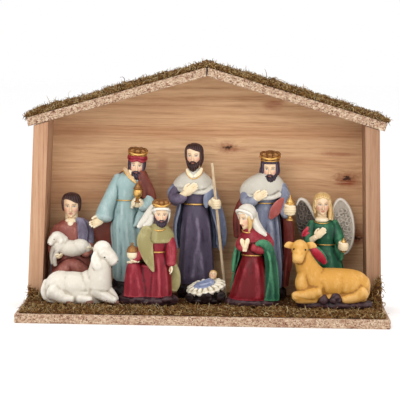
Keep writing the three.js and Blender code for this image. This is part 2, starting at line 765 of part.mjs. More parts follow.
function ox() {
  const hollow = ball(8, 0, 16, 20, 13.5 - CERAMIC_WALL, 13 - CERAMIC_WALL);
  const vent = loft([[-1, VENT_RADIUS, VENT_RADIUS, 8], [8, VENT_RADIUS, VENT_RADIUS, 8]], HOLLOW_SIDES);
  return cast(
    [
      foot(31.5, 15.5, 5.5),
      ball(-9, -11, 7, 4.5, 4.2, 5.5),
      ball(0, -11.2, 7.5, 5.8, 4.2, 6.8),
      ball(6, 0, 16.5, 24.5, 13, 14.2),
      ball(16.5, 0, 14.5, 12.5, 13.8, 12.5),
      loft([[4, 26, 12.5, -1, 0], [10, 28, 13, -1, 0]]),
      limb([[-14, -1, 14, 12], [-23, -2, 27, 9.5], [-27, -3, 42, 8]]),
      ball(-28.7, -5, 46.5, 7.5, 8, 8.5),
      limb([[-28.7, -6, 44, 7], [-28.9, -12, 38, 5.6], [-28.9, -14, 36.5, 3.6]]),
      limb([[-34, -4, 49.5, 2.8], [-38, -4, 49.8, 2.8], [-41.3, -4, 49, 1.2]]),
      limb([[-23, -4, 49.5, 2.8], [-19, -4, 49.8, 2.8], [-14.3, -4, 49, 1.2]]),
      limb([[-14, -10.5, 10, 6], [-25, -11.5, 8, 5], [-33, -11.5, 7, 3.6]]),
      limb([[23, -8, 10, 6.5], [12, -12, 8, 4.5]]),
    ],
    join(hollow, vent),
  );
}

// Figures spread over the room, and are cast smaller where it is less. Each place is given at
// full size: x from the middle, y from the row's own line.
const innerX = wallTopX - WALL_THICKNESS;
const spread = (2 * innerX) / FIGURES_ROOM_WIDTH;
const figureSize = Math.min(spread, (backY + panelY) / FIGURES_ROOM_DEPTH);
const backRowY = panelY - BACK_ROW_FROM_PANEL * figureSize;
const frontRowY = -BOARD_DEPTH / 2 + FRONT_ROW_FROM_EDGE * figureSize;
const figures = [
  ["shepherd", shepherd, -112, backRowY, 0, paint(0x7c4a44, 0.45)],
  ["king_light_blue", kingLightBlue, -68, backRowY, -1.5, paint(0x9dbcc0, 0.45)],
  ["father", father, -6, backRowY, 0, paint(0x56505f, 0.45)],
  ["father_staff", staff, -6, backRowY, 0, paint(0xb08f69, 0.7)],
  ["king_dark_blue", kingDarkBlue, 51, backRowY, 0, paint(0x6b7f9c, 0.45)],
  ["angel", angel, 102, backRowY, 0, paint(0x1f5b41, 0.45)],
  ["sheep", sheep, -103, frontRowY, 0, paint(0xe6e0d2, 0.45)],
  ["king_kneeling", kingKneeling, -44, frontRowY, 4, paint(0x8d1730, 0.45)],
  ["manger", manger, 1, frontRowY, 13, paint(0xe4d9bf, 0.45)],
  ["mother", mother, 39, frontRowY, 6.5, paint(0xb01836, 0.45)],
  ["ox", ox, 107, frontRowY, 2, paint(0xc9984e, 0.45)],
];

const stable = new THREE.Group();
function add(name, solid, material, place = [0, 0, 0], size = 1) {
  const mesh = new THREE.Mesh(geometryOf(solid), material);
  mesh.name = name;
  mesh.position.set(...place);
  mesh.scale.setScalar(size);
  stable.add(mesh);
}

add("floor_board", floorBoard(), CHIPBOARD);
add("wall_left", sideWall(-1), SOFTWOOD);
add("wall_right", sideWall(1), SOFTWOOD);
add("back_panel", backPanel(), SOFTWOOD);
add("roof_left", roofBoard(-1), CHIPBOARD);
add("roof_right", roofBoard(1), CHIPBOARD);
add("floor_moss", floorMoss(), MOSS);
add("roof_moss_left", roofMoss(-1), MOSS);
add("roof_moss_right", roofMoss(1), MOSS);
for (const nail of nails) add(nail.name, nailSolid(nail), STEEL);
for (const [name, sculpt, x, rowY, y, material] of figures) {
  const place = [x * spread, rowY + y * figureSize, mossZ + SEAT_GAP];
  add(name, sculpt(), material, place, figureSize);
}

export default stable;
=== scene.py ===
import math

import bpy
import numpy as np
from mathutils import Matrix, Vector


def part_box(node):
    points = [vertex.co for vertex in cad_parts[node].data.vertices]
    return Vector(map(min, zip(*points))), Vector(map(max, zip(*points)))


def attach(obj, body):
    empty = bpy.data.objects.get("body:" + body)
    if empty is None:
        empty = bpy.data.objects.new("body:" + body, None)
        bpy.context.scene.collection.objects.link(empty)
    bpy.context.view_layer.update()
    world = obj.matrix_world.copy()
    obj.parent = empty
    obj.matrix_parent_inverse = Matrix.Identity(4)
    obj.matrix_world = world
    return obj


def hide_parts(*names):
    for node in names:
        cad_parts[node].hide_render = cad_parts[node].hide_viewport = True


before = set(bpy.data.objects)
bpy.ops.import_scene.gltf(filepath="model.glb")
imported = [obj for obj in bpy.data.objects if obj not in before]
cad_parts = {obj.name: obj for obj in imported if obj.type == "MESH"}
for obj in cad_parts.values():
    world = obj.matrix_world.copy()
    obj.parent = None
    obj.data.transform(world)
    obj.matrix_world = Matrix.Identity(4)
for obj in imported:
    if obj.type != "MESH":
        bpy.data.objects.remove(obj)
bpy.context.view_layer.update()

# Shapes are worked out in millimetres and turned to metres when a mesh is made.
MM = 0.001
rng = np.random.default_rng(20)


def xyz(*values):
    return np.array(values, float)


# Smooth noise on points, the same in each run
def lattice(cells, seed):
    mixed = cells[..., 0] * 374761393 + cells[..., 1] * 668265263 + cells[..., 2] * 2147483647
    mixed = (mixed + seed * 1274126177) & 0xFFFFFFFF
    mixed = ((mixed ^ (mixed >> 13)) * 1103515245) & 0xFFFFFFFF
    return ((mixed ^ (mixed >> 16)) & 0xFFFF) / 32767.5 - 1


def rough(points, size, seed=0):
    """Noise from -1 to 1 at points, with bumps about size millimetres across."""
    scaled = np.asarray(points, float) / size
    cells = np.floor(scaled).astype(np.int64)
    share = scaled - cells
    share = share * share * (3 - 2 * share)
    total = 0
    for corner in range(8):
        step = np.array([corner & 1, corner >> 1 & 1, corner >> 2 & 1])
        weight = np.prod(np.where(step, share, 1 - share), axis=-1)
        total = total + weight * lattice(cells + step, seed)
    return total


def smooth_step(value, low, high):
    share = np.clip((value - low) / (high - low), 0, 1)
    return share * share * (3 - 2 * share)


def spline(rows, count):
    """count rows along a smooth curve through rows."""
    rows = np.asarray(rows, float)
    if len(rows) == 2:
        return rows[0] + np.linspace(0, 1, count)[:, None] * (rows[1] - rows[0])
    padded = np.vstack([2 * rows[0] - rows[1], rows, 2 * rows[-1] - rows[-2]])
    at = np.linspace(0, len(rows) - 1, count)
    knot = np.minimum(at.astype(int), len(rows) - 2)
    t = (at - knot)[:, None]
    a, b, c, d = (padded[knot + k] for k in range(4))
    return 0.5 * (2 * b + (c - a) * t + (2 * a - 5 * b + 4 * c - d) * t**2 + (3 * b - a - 3 * c + d) * t**3)


# A form is a pair: points, and faces as lists of point numbers.
def skin(rings):
    """A closed skin over rings of points, capped at both ends."""
    count, sides = rings.shape[:2]
    points = rings.reshape(-1, 3)
    row, side = np.meshgrid(np.arange(count - 1), np.arange(sides), indexing="ij")
    a = (row * sides + side).ravel()
    b = (row * sides + (side + 1) % sides).ravel()
    faces = np.stack([a, b, b + sides, a + sides], 1).tolist()
    faces.append(list(range(sides))[::-1])
    faces.append(list(range((count - 1) * sides, count * sides)))
    return points, faces


def loft(levels, folds=(), sides=120, step=0.7):
    """An upright form through levels [z, half width, half depth, x, y].
    folds are [angle, width, height, low z, high z, twist] in degrees and millimetres."""
    levels = [list(level) + [0] * (5 - len(level)) for level in levels]
    tall = abs(levels[-1][0] - levels[0][0])
    rows = spline(levels, max(int(tall / step), len(levels) * 3))
    turn = np.linspace(0, 2 * math.pi, sides, endpoint=False)
    z = rows[:, :1] + 0 * turn
    out = np.zeros_like(z)
    for angle, width, height, low, high, twist in folds:
        share = np.clip((z - low) / (high - low), 0, 1)
        middle = np.radians(angle + twist * share)
        off = np.degrees((turn - middle + math.pi) % (2 * math.pi) - math.pi) / width
        ends = smooth_step(z, low - 3, low + 3) * (1 - smooth_step(z, high - 8, high + 4))
        out += height * np.exp(-off**2) * ends
    x = rows[:, 3:4] + (rows[:, 1:2] + out) * np.cos(turn)
    y = rows[:, 4:5] + (rows[:, 2:3] + out) * np.sin(turn)
    return skin(np.stack([x, y, z], -1))


def tube(stations, sides=28, step=0.6, blunt=0.6):
    """A limb or sleeve through [x, y, z, radius, radius across], with rounded ends."""
    stations = [list(row) + [row[3]] * (5 - len(row)) for row in stations]
    line = np.array(stations, float)
    length = np.linalg.norm(np.diff(line[:, :3], axis=0), axis=1).sum()
    rows = spline(line, max(int(length / step), 6))
    along = np.gradient(rows[:, :3], axis=0)
    along /= np.linalg.norm(along, axis=1)[:, None] + 1e-9
    for end, sign in ((0, -1), (-1, 1)):
        caps = []
        for angle in np.radians([30, 55, 75, 87]):
            row = rows[end].copy()
            row[:3] += sign * along[end] * row[3] * blunt * math.sin(angle)
            row[3:] *= math.cos(angle)
            caps.append(row)
        extra = np.array(caps if sign > 0 else caps[::-1])
        directions = np.repeat(along[end][None], len(extra), 0)
        rows = np.vstack([rows, extra] if sign > 0 else [extra, rows])
        along = np.vstack([along, directions] if sign > 0 else [directions, along])
    across = np.zeros_like(along)
    last = None
    for i, forward in enumerate(along):
        side = np.cross([0.0, 1.0, 0.0], forward)
        if np.linalg.norm(side) < 0.35:
            base = last if last is not None else xyz(1, 0, 0)
            side = base - forward * np.dot(base, forward)
        elif last is not None and np.dot(side, last) < 0:
            side = -side
        across[i] = last = side / np.linalg.norm(side)
    depth = np.cross(along, across)
    turn = np.linspace(0, 2 * math.pi, sides, endpoint=False)
    radius = rows[:, 3:5]
    rings = (
        rows[:, None, :3]
        + across[:, None] * (radius[:, :1] * np.cos(turn))[..., None]
        + depth[:, None] * (radius[:, 1:] * np.sin(turn))[..., None]
    )
    return skin(rings)


def ball(x, y, z, rx, ry=None, rz=None, turn=(0, 0, 0), sides=40):
    ry, rz = ry or rx, rz or rx
    rise = np.linspace(-math.pi / 2, math.pi / 2, sides // 2 + 1)[1:-1]
    around = np.linspace(0, 2 * math.pi, sides, endpoint=False)
    level = np.cos(rise)[:, None]
    rings = np.stack(
        [rx * level * np.cos(around), ry * level * np.sin(around), rz * np.sin(rise)[:, None] + 0 * around],
        -1
    )
    points, faces = skin(rings)
    spin = np.array((Matrix.Rotation(math.radians(turn[2]), 3, "Z")
                     @ Matrix.Rotation(math.radians(turn[1]), 3, "Y")
                     @ Matrix.Rotation(math.radians(turn[0]), 3, "X")))
    return points @ spin.T + xyz(x, y, z), faces


def lathe(profile, sides=48):
    """A turned form with the outline [radius, height] from foot to top."""
    rows = np.array(profile, float)
    around = np.linspace(0, 2 * math.pi, sides, endpoint=False)
    radius = np.maximum(rows[:, :1], 0.02)
    return skin(np.stack([radius * np.cos(around), radius * np.sin(around), rows[:, 1:] + 0 * around], -1))


def cape(levels, thickness=1.6, folds=(), sides=90, step=0.8):
    """A cloak open at the front: levels are [z, half width, half depth, x, y, start, end],
    with start and end the angles in degrees that it spans, the back being 90."""
    tall = abs(levels[-1][0] - levels[0][0])
    rows = spline(levels, max(int(tall / step), len(levels) * 3))
    share = np.linspace(0, 1, sides)
    angle = np.radians(rows[:, 5:6] + share * (rows[:, 6:7] - rows[:, 5:6]))
    z = rows[:, :1] + 0 * angle
    out = np.zeros_like(z)
    for middle, width, height, low, high, twist in folds:
        part = np.clip((z - low) / (high - low), 0, 1)
        off = (np.degrees(angle) - middle - twist * part) / width
        out += height * np.exp(-off**2) * (1 - smooth_step(z, high - 8, high + 4))

    def shell(inset):
        x = rows[:, 3:4] + (rows[:, 1:2] + out - inset) * np.cos(angle)
        y = rows[:, 4:5] + (rows[:, 2:3] + out - inset) * np.sin(angle)
        return np.stack([x, y, z], -1)

    return skin(np.concatenate([shell(0), shell(thickness)[:, ::-1]], axis=1))


def slab(outline, y, thickness):
    """A flat plate with the outline of [x, z] points, smoothed, its middle at y."""
    closed = [outline[-1], *outline, outline[0], outline[1]]
    edge = spline(closed, 12 * len(closed))[12:-24]
    count = len(edge)
    front = np.stack([edge[:, 0], 0 * edge[:, 0] + y - thickness / 2, edge[:, 1]], -1)
    faces = [list(range(count)), list(range(2 * count - 1, count - 1, -1))]
    for i in range(count):
        j = (i + 1) % count
        faces.append([i, i + count, j + count, j])
    return np.vstack([front, front + [0, thickness, 0]]), faces


def moved(form, by):
    return form[0] + xyz(*by), form[1]


def mesh_of(name, forms):
    """One mesh from forms in millimetres."""
    points, faces, start = [], [], 0
    for form_points, form_faces in forms:
        points.append(form_points)
        faces += [[i + start for i in face] for face in form_faces]
        start += len(form_points)
    mesh = bpy.data.meshes.new(name)
    mesh.from_pydata((np.vstack(points) * MM).tolist(), [], faces)
    mesh.update()
    return mesh


def linked(name, mesh):
    piece = bpy.data.objects.new(name, mesh)
    bpy.context.scene.collection.objects.link(piece)
    return piece


def applied(piece):
    """The piece with its modifiers applied."""
    graph = bpy.context.evaluated_depsgraph_get()
    mesh = bpy.data.meshes.new_from_object(piece.evaluated_get(graph))
    piece.modifiers.clear()
    old = piece.data
    piece.data = mesh
    bpy.data.meshes.remove(old)
    return piece


def positions(mesh):
    flat = np.empty(len(mesh.vertices) * 3, np.float32)
    mesh.vertices.foreach_get("co", flat)
    return flat.reshape(-1, 3).astype(float) / MM


def set_positions(mesh, points):
    mesh.vertices.foreach_set("co", (points * MM).astype(np.float32).ravel())
    mesh.update()


def neighbour_mean(mesh, points):
    ends = np.empty(len(mesh.edges) * 2, np.int32)
    mesh.edges.foreach_get("vertices", ends)
    ends = ends.reshape(-1, 2)
    total, count = np.zeros_like(points), np.zeros(len(points))
    for a, b in ((0, 1), (1, 0)):
        np.add.at(total, ends[:, a], points[ends[:, b]])
        np.add.at(count, ends[:, a], 1)
    return total / np.maximum(count, 1)[:, None]


def normals(mesh):
    flat = np.empty(len(mesh.vertices) * 3, np.float32)
    mesh.vertex_normals.foreach_get("vector", flat)
    return flat.reshape(-1, 3).astype(float)


def mark_hollows(mesh, rounds=10, reach=0.35):
    """Stores how far each point lies in a hollow (up to 1) or on a ridge (down to -1)."""
    points = positions(mesh)
    even = points
    for _ in range(rounds):
        even = neighbour_mean(mesh, even)
    depth = ((even - points) * normals(mesh)).sum(1)
    for _ in range(3):
        depth = neighbour_mean(mesh, depth[:, None])[:, 0]
    layer = mesh.attributes.new("hollow", "FLOAT", "POINT")
    layer.data.foreach_set("value", np.clip(depth / reach, -1, 1).astype(np.float32))


def sculpt(name, forms, voxel=0.45, smooth=6, grain=0.0, carve=None):
    """Forms melted into one body of clay, smoothed, then carved by carve(points, normals)."""
    piece = linked(name, mesh_of(name, forms))
    remesh = piece.modifiers.new("melt", "REMESH")
    remesh.mode = "VOXEL"
    remesh.voxel_size = voxel * MM
    remesh.use_smooth_shade = True
    soften = piece.modifiers.new("soften", "SMOOTH")
    soften.factor = 0.5
    soften.iterations = smooth
    applied(piece)
    mesh = piece.data
    points = positions(mesh)
    if grain:
        points = points + normals(mesh) * (grain * rough(points, 2.6, 5))[:, None]
    if carve:
        points = carve(points, normals(mesh))
    set_positions(mesh, points)
    mark_hollows(mesh)
    mesh.shade_smooth()
    return piece


# Nodes of a material, written as sums
class Paint:
    def __init__(self, name):
        self.material = bpy.data.materials.new(name)
        self.material.use_nodes = True
        self.tree = self.material.node_tree
        self.surface = self.tree.nodes["Principled BSDF"]

    def node(self, kind, settings=None, **inputs):
        made = self.tree.nodes.new(kind)
        for key, value in (settings or {}).items():
            setattr(made, key, value)
        for key, value in inputs.items():
            self.set(made.inputs[key.replace("_", " ")], value)
        return made

    def set(self, socket, value):
        if isinstance(value, bpy.types.NodeSocket):
            self.tree.links.new(value, socket)
        elif isinstance(value, str):
            socket.default_value = (*linear(value), 1)
        elif isinstance(value, tuple) and len(value) == 3 and socket.type == "RGBA":
            socket.default_value = (*value, 1)
        else:
            socket.default_value = value

    def math(self, operation, a, b=0.0, clamp=False):
        made = self.tree.nodes.new("ShaderNodeMath")
        made.operation = operation
        made.use_clamp = clamp
        self.set(made.inputs[0], a)
        self.set(made.inputs[1], b)
        return made.outputs[0]

    def mix(self, share, a, b, blend="MIX"):
        made = self.tree.nodes.new("ShaderNodeMix")
        made.data_type = "RGBA"
        made.blend_type = blend
        self.set(made.inputs["Factor"], share)
        self.set(made.inputs["A"], a)
        self.set(made.inputs["B"], b)
        return made.outputs["Result"]

    def range(self, value, low, high, start=0.0, end=1.0):
        made = self.node(
            "ShaderNodeMapRange",
            {"interpolation_type": "SMOOTHSTEP"},
            Value=value, From_Min=low, From_Max=high, To_Min=start, To_Max=end,
        )
        return made.outputs["Result"]

    def ramp(self, share, stops):
        made = self.tree.nodes.new("ShaderNodeValToRGB")
        self.set(made.inputs[0], share)
        ramp = made.color_ramp
        while len(ramp.elements) < len(stops):
            ramp.elements.new(0.5)
        for element, (at, color) in zip(ramp.elements, stops):
            element.position = at
            element.color = (*linear(color), 1)
        return made.outputs["Color"]

    def place(self, scale=(1, 1, 1), turn=(0, 0, 0), shift=(0, 0, 0)):
        """Object coordinates in millimetres, scaled."""
        where = self.node("ShaderNodeTexCoord").outputs["Object"]
        made = self.node("ShaderNodeMapping", Vector=where)
        made.inputs["Scale"].default_value = [1000 * s for s in scale]
        made.inputs["Rotation"].default_value = turn
        made.inputs["Location"].default_value = shift
        return made.outputs["Vector"]

    def noise(self, vector, size, detail=3.0, roughness=0.55, twist=0.0):
        made = self.node("ShaderNodeTexNoise", Vector=vector, Scale=1 / size, Detail=detail,
                         Roughness=roughness, Distortion=twist)
        return made.outputs["Fac"]

    def attribute(self, name):
        return self.node("ShaderNodeAttribute", {"attribute_name": name})

    def bump(self, height, strength, distance=0.0003):
        made = self.node("ShaderNodeBump", Strength=strength, Distance=distance, Height=height)
        self.tree.links.new(made.outputs["Normal"], self.surface.inputs["Normal"])

    def finish(self, color, roughness, metallic=0.0, coat=0.0, specular=0.5):
        self.set(self.surface.inputs["Base Color"], color)
        self.set(self.surface.inputs["Roughness"], roughness)
        self.surface.inputs["Metallic"].default_value = metallic
        self.surface.inputs["Coat Weight"].default_value = coat
        self.surface.inputs["Coat Roughness"].default_value = 0.25
        self.surface.inputs["Specular IOR Level"].default_value = specular
        return self.material


def linear(color):
    """A colour written as #rrggbb, in the linear values that a shader takes."""
    parts = [int(color[i:i + 2], 16) / 255 for i in (1, 3, 5)]
    return tuple(c / 12.92 if c <= 0.04045 else ((c + 0.055) / 1.055) ** 2.4 for c in parts)


# Materials of the figures
def glaze(name, color, shade, light, roughness=0.38, brush=0.9, coat=0.06):
    """Hand-brushed colour; painted shade in hollows, painted highlights on ridges, partly paint pooled and
    worn thin.
    """
    paint = Paint(name)
    hollow = paint.attribute("hollow").outputs["Fac"]
    strokes = paint.noise(paint.place((1, 1, 0.4)), 1.9, 4, 0.65, 0.6)
    patches = paint.noise(paint.place((1, 1, 0.6)), 6, 4, 0.6)
    uneven = paint.math("MULTIPLY", paint.math("SUBTRACT", strokes, 0.5), brush)
    shade_and_mottle = paint.math("ADD", paint.math("MULTIPLY", hollow, 1.4), uneven)
    shade_and_mottle = paint.math("ADD", shade_and_mottle, paint.math("MULTIPLY", paint.math("SUBTRACT", patches, 0.5), 0.9))
    # Painted shade where the mix is high, in hollows, and painted highlight where it is low, on ridges,
    # with brush mottle
    base = paint.mix(paint.range(shade_and_mottle, 0.0, 0.55), color, shade)
    base = paint.mix(paint.range(shade_and_mottle, -0.1, -0.7, 0, 0.8), base, light)
    paint.bump(paint.noise(paint.place(), 0.5, 3), 0.12)
    shine = paint.range(patches, 0.3, 0.7, roughness - 0.05, roughness + 0.07)
    return paint.finish(base, shine, coat=coat, specular=0.22)


def gilt(name, color="#d9ab62", shade="#6b431c", metallic=0.85):
    paint = Paint(name)
    hollow = paint.attribute("hollow").outputs["Fac"]
    specks = paint.noise(paint.place(), 0.9, 4, 0.65)
    # Painted shade: the gilding darkens in hollows, mixed with specks
    shade_and_mottle = paint.math("ADD", hollow, paint.math("MULTIPLY", paint.math("SUBTRACT", specks, 0.5), 0.7))
    base = paint.mix(paint.range(shade_and_mottle, 0.0, 0.6), color, shade)
    paint.bump(specks, 0.18)
    return paint.finish(base, paint.range(specks, 0.3, 0.7, 0.24, 0.4), metallic=metallic)


# Camera at the photograph's viewpoint, and soft studio light
def place_camera():
    azimuth, elevation, roll = (math.radians(a) for a in (1.35, 5.6, 0.76))
    target = Vector((-4.17, 0, 94.84)) * MM
    distance, focal_length = 1.44591, 158.2
    level = math.cos(elevation)
    back = Vector((math.sin(azimuth) * level, -math.cos(azimuth) * level, math.sin(elevation)))
    data = bpy.data.cameras.new("camera")
    data.lens = focal_length
    data.sensor_width = 36
    data.clip_end = 30
    camera = bpy.data.objects.new("camera", data)
    bpy.context.scene.collection.objects.link(camera)
    facing = back.to_track_quat("Z", "Y").to_matrix().to_4x4()
    spin = Matrix.Rotation(roll, 4, "Z")
    camera.matrix_world = Matrix.Translation(target + back * distance) @ facing @ spin
    bpy.context.scene.camera = camera


def area_light(name, place, aim, size, power, color=(1, 1, 1)):
    data = bpy.data.lights.new(name, "AREA")
    data.shape = "RECTANGLE"
    data.size, data.size_y = size
    data.energy = power
    data.color = color
    light = bpy.data.objects.new(name, data)
    light.location = place
    light.rotation_euler = (Vector(aim) - Vector(place)).to_track_quat("-Z", "Y").to_euler()
    bpy.context.scene.collection.objects.link(light)


def studio():
    world = bpy.data.worlds.new("studio")
    bpy.context.scene.world = world
    world.use_nodes = True
    world.node_tree.nodes["Background"].inputs["Color"].default_value = (1, 1, 1, 1)
    world.node_tree.nodes["Background"].inputs["Strength"].default_value = 1.0
    area_light("key", (-0.45, -1.4, 0.95), (0, 0, 0.1), (0.8, 0.8), 8, (1, 0.985, 0.96))
    area_light("fill", (1.0, -1.3, 0.6), (0, 0, 0.08), (0.8, 0.8), 3.5, (0.97, 0.985, 1))
    area_light("top", (0, 0.1, 1.5), (0, 0, 0.1), (1.4, 1.4), 4)
    view = bpy.context.scene.view_settings
    view.view_transform = "Standard"
    view.look = "None"
    mesh = bpy.data.meshes.new("floor")
    reach = 6
    corners = [(-reach, -reach, 0), (reach, -reach, 0), (reach, reach, 0), (-reach, reach, 0)]
    mesh.from_pydata(corners, [], [(0, 1, 2, 3)])
    floor = linked("floor", mesh)
    paint = Paint("floor_white")
    grain = paint.noise(paint.place(), 0.8, 2)
    floor.data.materials.append(paint.finish(paint.mix(grain, "#fdfdfd", "#ffffff"), 0.9, specular=0.1))


place_camera()
studio()


# Materials of the stable
def chipboard(name, along):
    """Pressed chips: small pale and reddish flecks with dark specks between them."""
    paint = Paint(name)
    where = paint.place((0.8, 0.8, 1.05), (0, along, 0))
    bent = paint.noise(where, 1.6, 2)
    cells = paint.node("ShaderNodeTexVoronoi", {"feature": "F1"}, Vector=where, Scale=1.0, Randomness=1.0)
    share = paint.node("ShaderNodeSeparateColor", Color=cells.outputs["Color"]).outputs[0]
    chip = paint.ramp(paint.math("ADD", paint.math("MULTIPLY", share, 0.75),
                                 paint.math("MULTIPLY", bent, 0.3)), [
        (0.08, "#5e3d2e"), (0.2, "#94705a"), (0.36, "#b09278"), (0.6, "#bda187"), (0.85, "#cbb298"),
        (0.98, "#dccab4"),
    ])
    specks = paint.noise(paint.place((1, 1, 1.3), (0, along, 0)), 1.1, 3, 0.6)
    stains = paint.noise(paint.place((0.5, 0.5, 0.8), (0, along, 0)), 2.2, 3, 0.6)
    color = paint.mix(paint.range(specks, 0.55, 0.64, 0, 0.9), chip, "#4a261c")
    color = paint.mix(paint.range(specks, 0.42, 0.3, 0, 0.7), color, "#e2d3be")
    color = paint.mix(paint.range(stains, 0.5, 0.68, 0, 0.6), color, "#b98a78", "MULTIPLY")
    paint.bump(paint.math("ADD", share, paint.math("MULTIPLY", specks, 2)), 0.5)
    return paint.finish(color, 0.85, specular=0.2)


def softwood(name, grain, knots, light, middle, dark, streaks=()):
    """Planed board: grain is the scale along each axis in mm. Knots are [x, y, z, radius],
    and streaks are [x, y, z, half length, half height, strength]."""
    paint = Paint(name)
    along = grain[0] < grain[2]
    ragged = paint.noise(paint.place((0.6, 1, 1)), 2.2, 3, 0.6)
    ragged = paint.math("SUBTRACT", ragged, 0.5)
    pull = 0.0
    rims = 0.0
    hearts = 0.0
    for x, y, z, radius in knots:
        stretch = (0.5, 1, 1) if along else (1, 1, 0.5)
        away = paint.node("ShaderNodeVectorMath", {"operation": "DISTANCE"})
        paint.set(away.inputs[0], paint.place(stretch))
        away.inputs[1].default_value = [v * s for v, s in zip((x, y, z), stretch)]
        away = away.outputs["Value"]
        near = paint.math("ADD", away, paint.math("MULTIPLY", ragged, radius * 2.4))
        pull = paint.math("ADD", pull, paint.range(away, radius * 0.4, radius * 5, radius * 1.4, 0))
        rims = paint.math("ADD", rims, paint.range(near, radius * 0.4, radius * 2.4, 0.8, 0))
        hearts = paint.math("ADD", hearts, paint.range(near, radius * 0.2, radius * 0.8, 1, 0))
    reds = 0.0
    for x, y, z, half_length, half_height, strength in streaks:
        stretch = (1 / half_length, 0.01, 1 / half_height)
        away = paint.node("ShaderNodeVectorMath", {"operation": "DISTANCE"})
        paint.set(away.inputs[0], paint.place(stretch))
        away.inputs[1].default_value = [v * s for v, s in zip((x, y, z), stretch)]
        near = paint.math("ADD", away.outputs["Value"], paint.math("MULTIPLY", ragged, 0.5))
        reds = paint.math("ADD", reds, paint.range(near, 0.2, 1.0, strength, 0))
    split = paint.node("ShaderNodeSeparateXYZ", Vector=paint.place())
    across = paint.math("ADD", split.outputs["Z" if along else "X"], pull)
    warp = paint.noise(paint.place(tuple(0.3 * g for g in grain)), 7, 3)
    across = paint.math("ADD", across, paint.math("MULTIPLY", warp, 30))
    line = paint.node("ShaderNodeCombineXYZ", X=across)
    rings = paint.noise(line.outputs[0], 3.4, 3, 0.6)
    lines = paint.noise(paint.place(tuple(0.5 * g for g in grain)), 0.8, 4, 0.65)
    fine = paint.noise(paint.place(tuple(1.3 * g for g in grain)), 0.6, 4, 0.6)
    patch = paint.noise(paint.place(tuple(0.5 * g for g in grain)), 11, 3)
    band = paint.math("ADD", paint.math("MULTIPLY", rings, 0.45), paint.math("MULTIPLY", fine, 0.2))
    band = paint.math("ADD", band, paint.math("MULTIPLY", lines, 0.35))
    color = paint.ramp(band, [(0.36, dark), (0.46, middle), (0.58, light)])
    color = paint.mix(paint.range(patch, 0.42, 0.72, 0, 0.5), color, "#c8946c", "MULTIPLY")
    streaked = paint.math("MULTIPLY", reds, paint.range(lines, 0.36, 0.56))
    color = paint.mix(paint.math("MULTIPLY", streaked, 1.0, True), color, "#8f4224")
    color = paint.mix(paint.math("MULTIPLY", rims, paint.range(lines, 0.3, 0.6, 0.5, 1.0), True), color,
                      "#8a4a2b")
    color = paint.mix(paint.math("MULTIPLY", hearts, 0.95, True), color, "#36180f")
    paint.bump(paint.math("ADD", fine, paint.math("MULTIPLY", rings, 0.3)), 0.3)
    return paint.finish(color, paint.range(fine, 0.3, 0.7, 0.62, 0.78), specular=0.3)


def dress(node, material, bevel=0.5):
    """Gives a CAD node its material, with edges that are a little rounded."""
    piece = bpy.data.objects[node]
    piece.data.materials.clear()
    piece.data.materials.append(material)
    if bevel:
        rounding = piece.modifiers.new("rounding", "BEVEL")
        rounding.width = bevel * MM
        rounding.segments = 2
        rounding.limit_method = "ANGLE"
        rounding.angle_limit = math.radians(40)


def remade(name, node, voxel, carve):
    """A finely gridded copy of a CAD node's shape, carved and put in its place."""
    source = bpy.data.objects[node]
    piece = linked(name, source.data.copy())
    piece.modifiers.clear()
    remesh = piece.modifiers.new("melt", "REMESH")
    remesh.mode = "VOXEL"
    remesh.voxel_size = voxel * MM
    applied(piece)
    mesh = piece.data
    mesh.materials.clear()
    set_positions(mesh, carve(positions(mesh), normals(mesh)))
    mark_hollows(mesh, 6)
    mesh.shade_smooth()
    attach(piece, "stable")
    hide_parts(node)
    return piece


def chip_edges(tilt):
    """Carves board edges as torn flakes; the wide faces stay nearly flat."""
    def carve(points, facing):
        up = facing[:, 0] * math.sin(tilt) + facing[:, 2] * math.cos(tilt)
        edge = 1 - smooth_step(np.abs(up), 0.3, 0.8)
        x, y, z = points.T
        along = x * math.cos(tilt) - z * math.sin(tilt)
        over = x * math.sin(tilt) + z * math.cos(tilt)
        flakes = rough(np.stack([along / 4, y / 4, over], 1), 1.1, 3)
        flakes += 0.6 * rough(np.stack([along / 2, y / 2, over], 1), 0.6, 7)
        return points - facing * ((0.28 + 0.26 * flakes) * edge + 0.12)[:, None]
    return carve


board = remade("floor_chipboard", "floor_board", 0.95, chip_edges(0))
board.data.materials.append(chipboard("chipboard_floor", 0.0))
pitch = math.radians(16.4)
for side, sign in (("left", -1), ("right", 1)):
    roof = remade(f"roof_chipboard_{side}", f"roof_{side}", 0.85, chip_edges(sign * pitch))
    roof.data.materials.append(chipboard(f"chipboard_roof_{side}", -sign * pitch))

PANEL_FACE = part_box("back_panel")[0].y / MM
WALL_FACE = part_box("wall_left")[0].y / MM
panel_wood = ("#dab28a", "#c89d75", "#a67853")
dress("back_panel", softwood("softwood_panel", (0.045, 0.3, 0.85), [
    (17.5, PANEL_FACE, 134.5, 2.7), (120, PANEL_FACE, 110, 3.4), (128.5, PANEL_FACE, 59, 3.2),
], *panel_wood, [
    (112, PANEL_FACE, 131, 26, 4, 0.6), (56, PANEL_FACE, 172, 13, 8, 0.7),
    (120, PANEL_FACE, 106, 16, 5, 0.95), (28, PANEL_FACE, 133, 14, 3, 0.4),
    (76, PANEL_FACE, 124, 24, 4, 0.35), (-30, PANEL_FACE, 172, 50, 7, 0.25),
    (-38, PANEL_FACE, 116, 7, 26, 0.4), (-110, PANEL_FACE, 142, 30, 12, 0.3),
    (128, PANEL_FACE, 62, 9, 11, 0.6),
]))
wall_grain = (0.8, 0.5, 0.04)
dress("wall_left", softwood("softwood_wall_left", wall_grain, [
    (-147, WALL_FACE, 122, 1.2), (-133, 30, 92, 2),
], "#c8a182", "#b98f6f", "#9a6e50"))
# Painted shade: the right wall takes the same softwood in darker tones, for the side the key light reaches
# less
dress("wall_right", softwood("softwood_wall_right", wall_grain, [(133, 34, 104, 2)], "#ad876b", "#9d775b",
                             "#7d5740"))

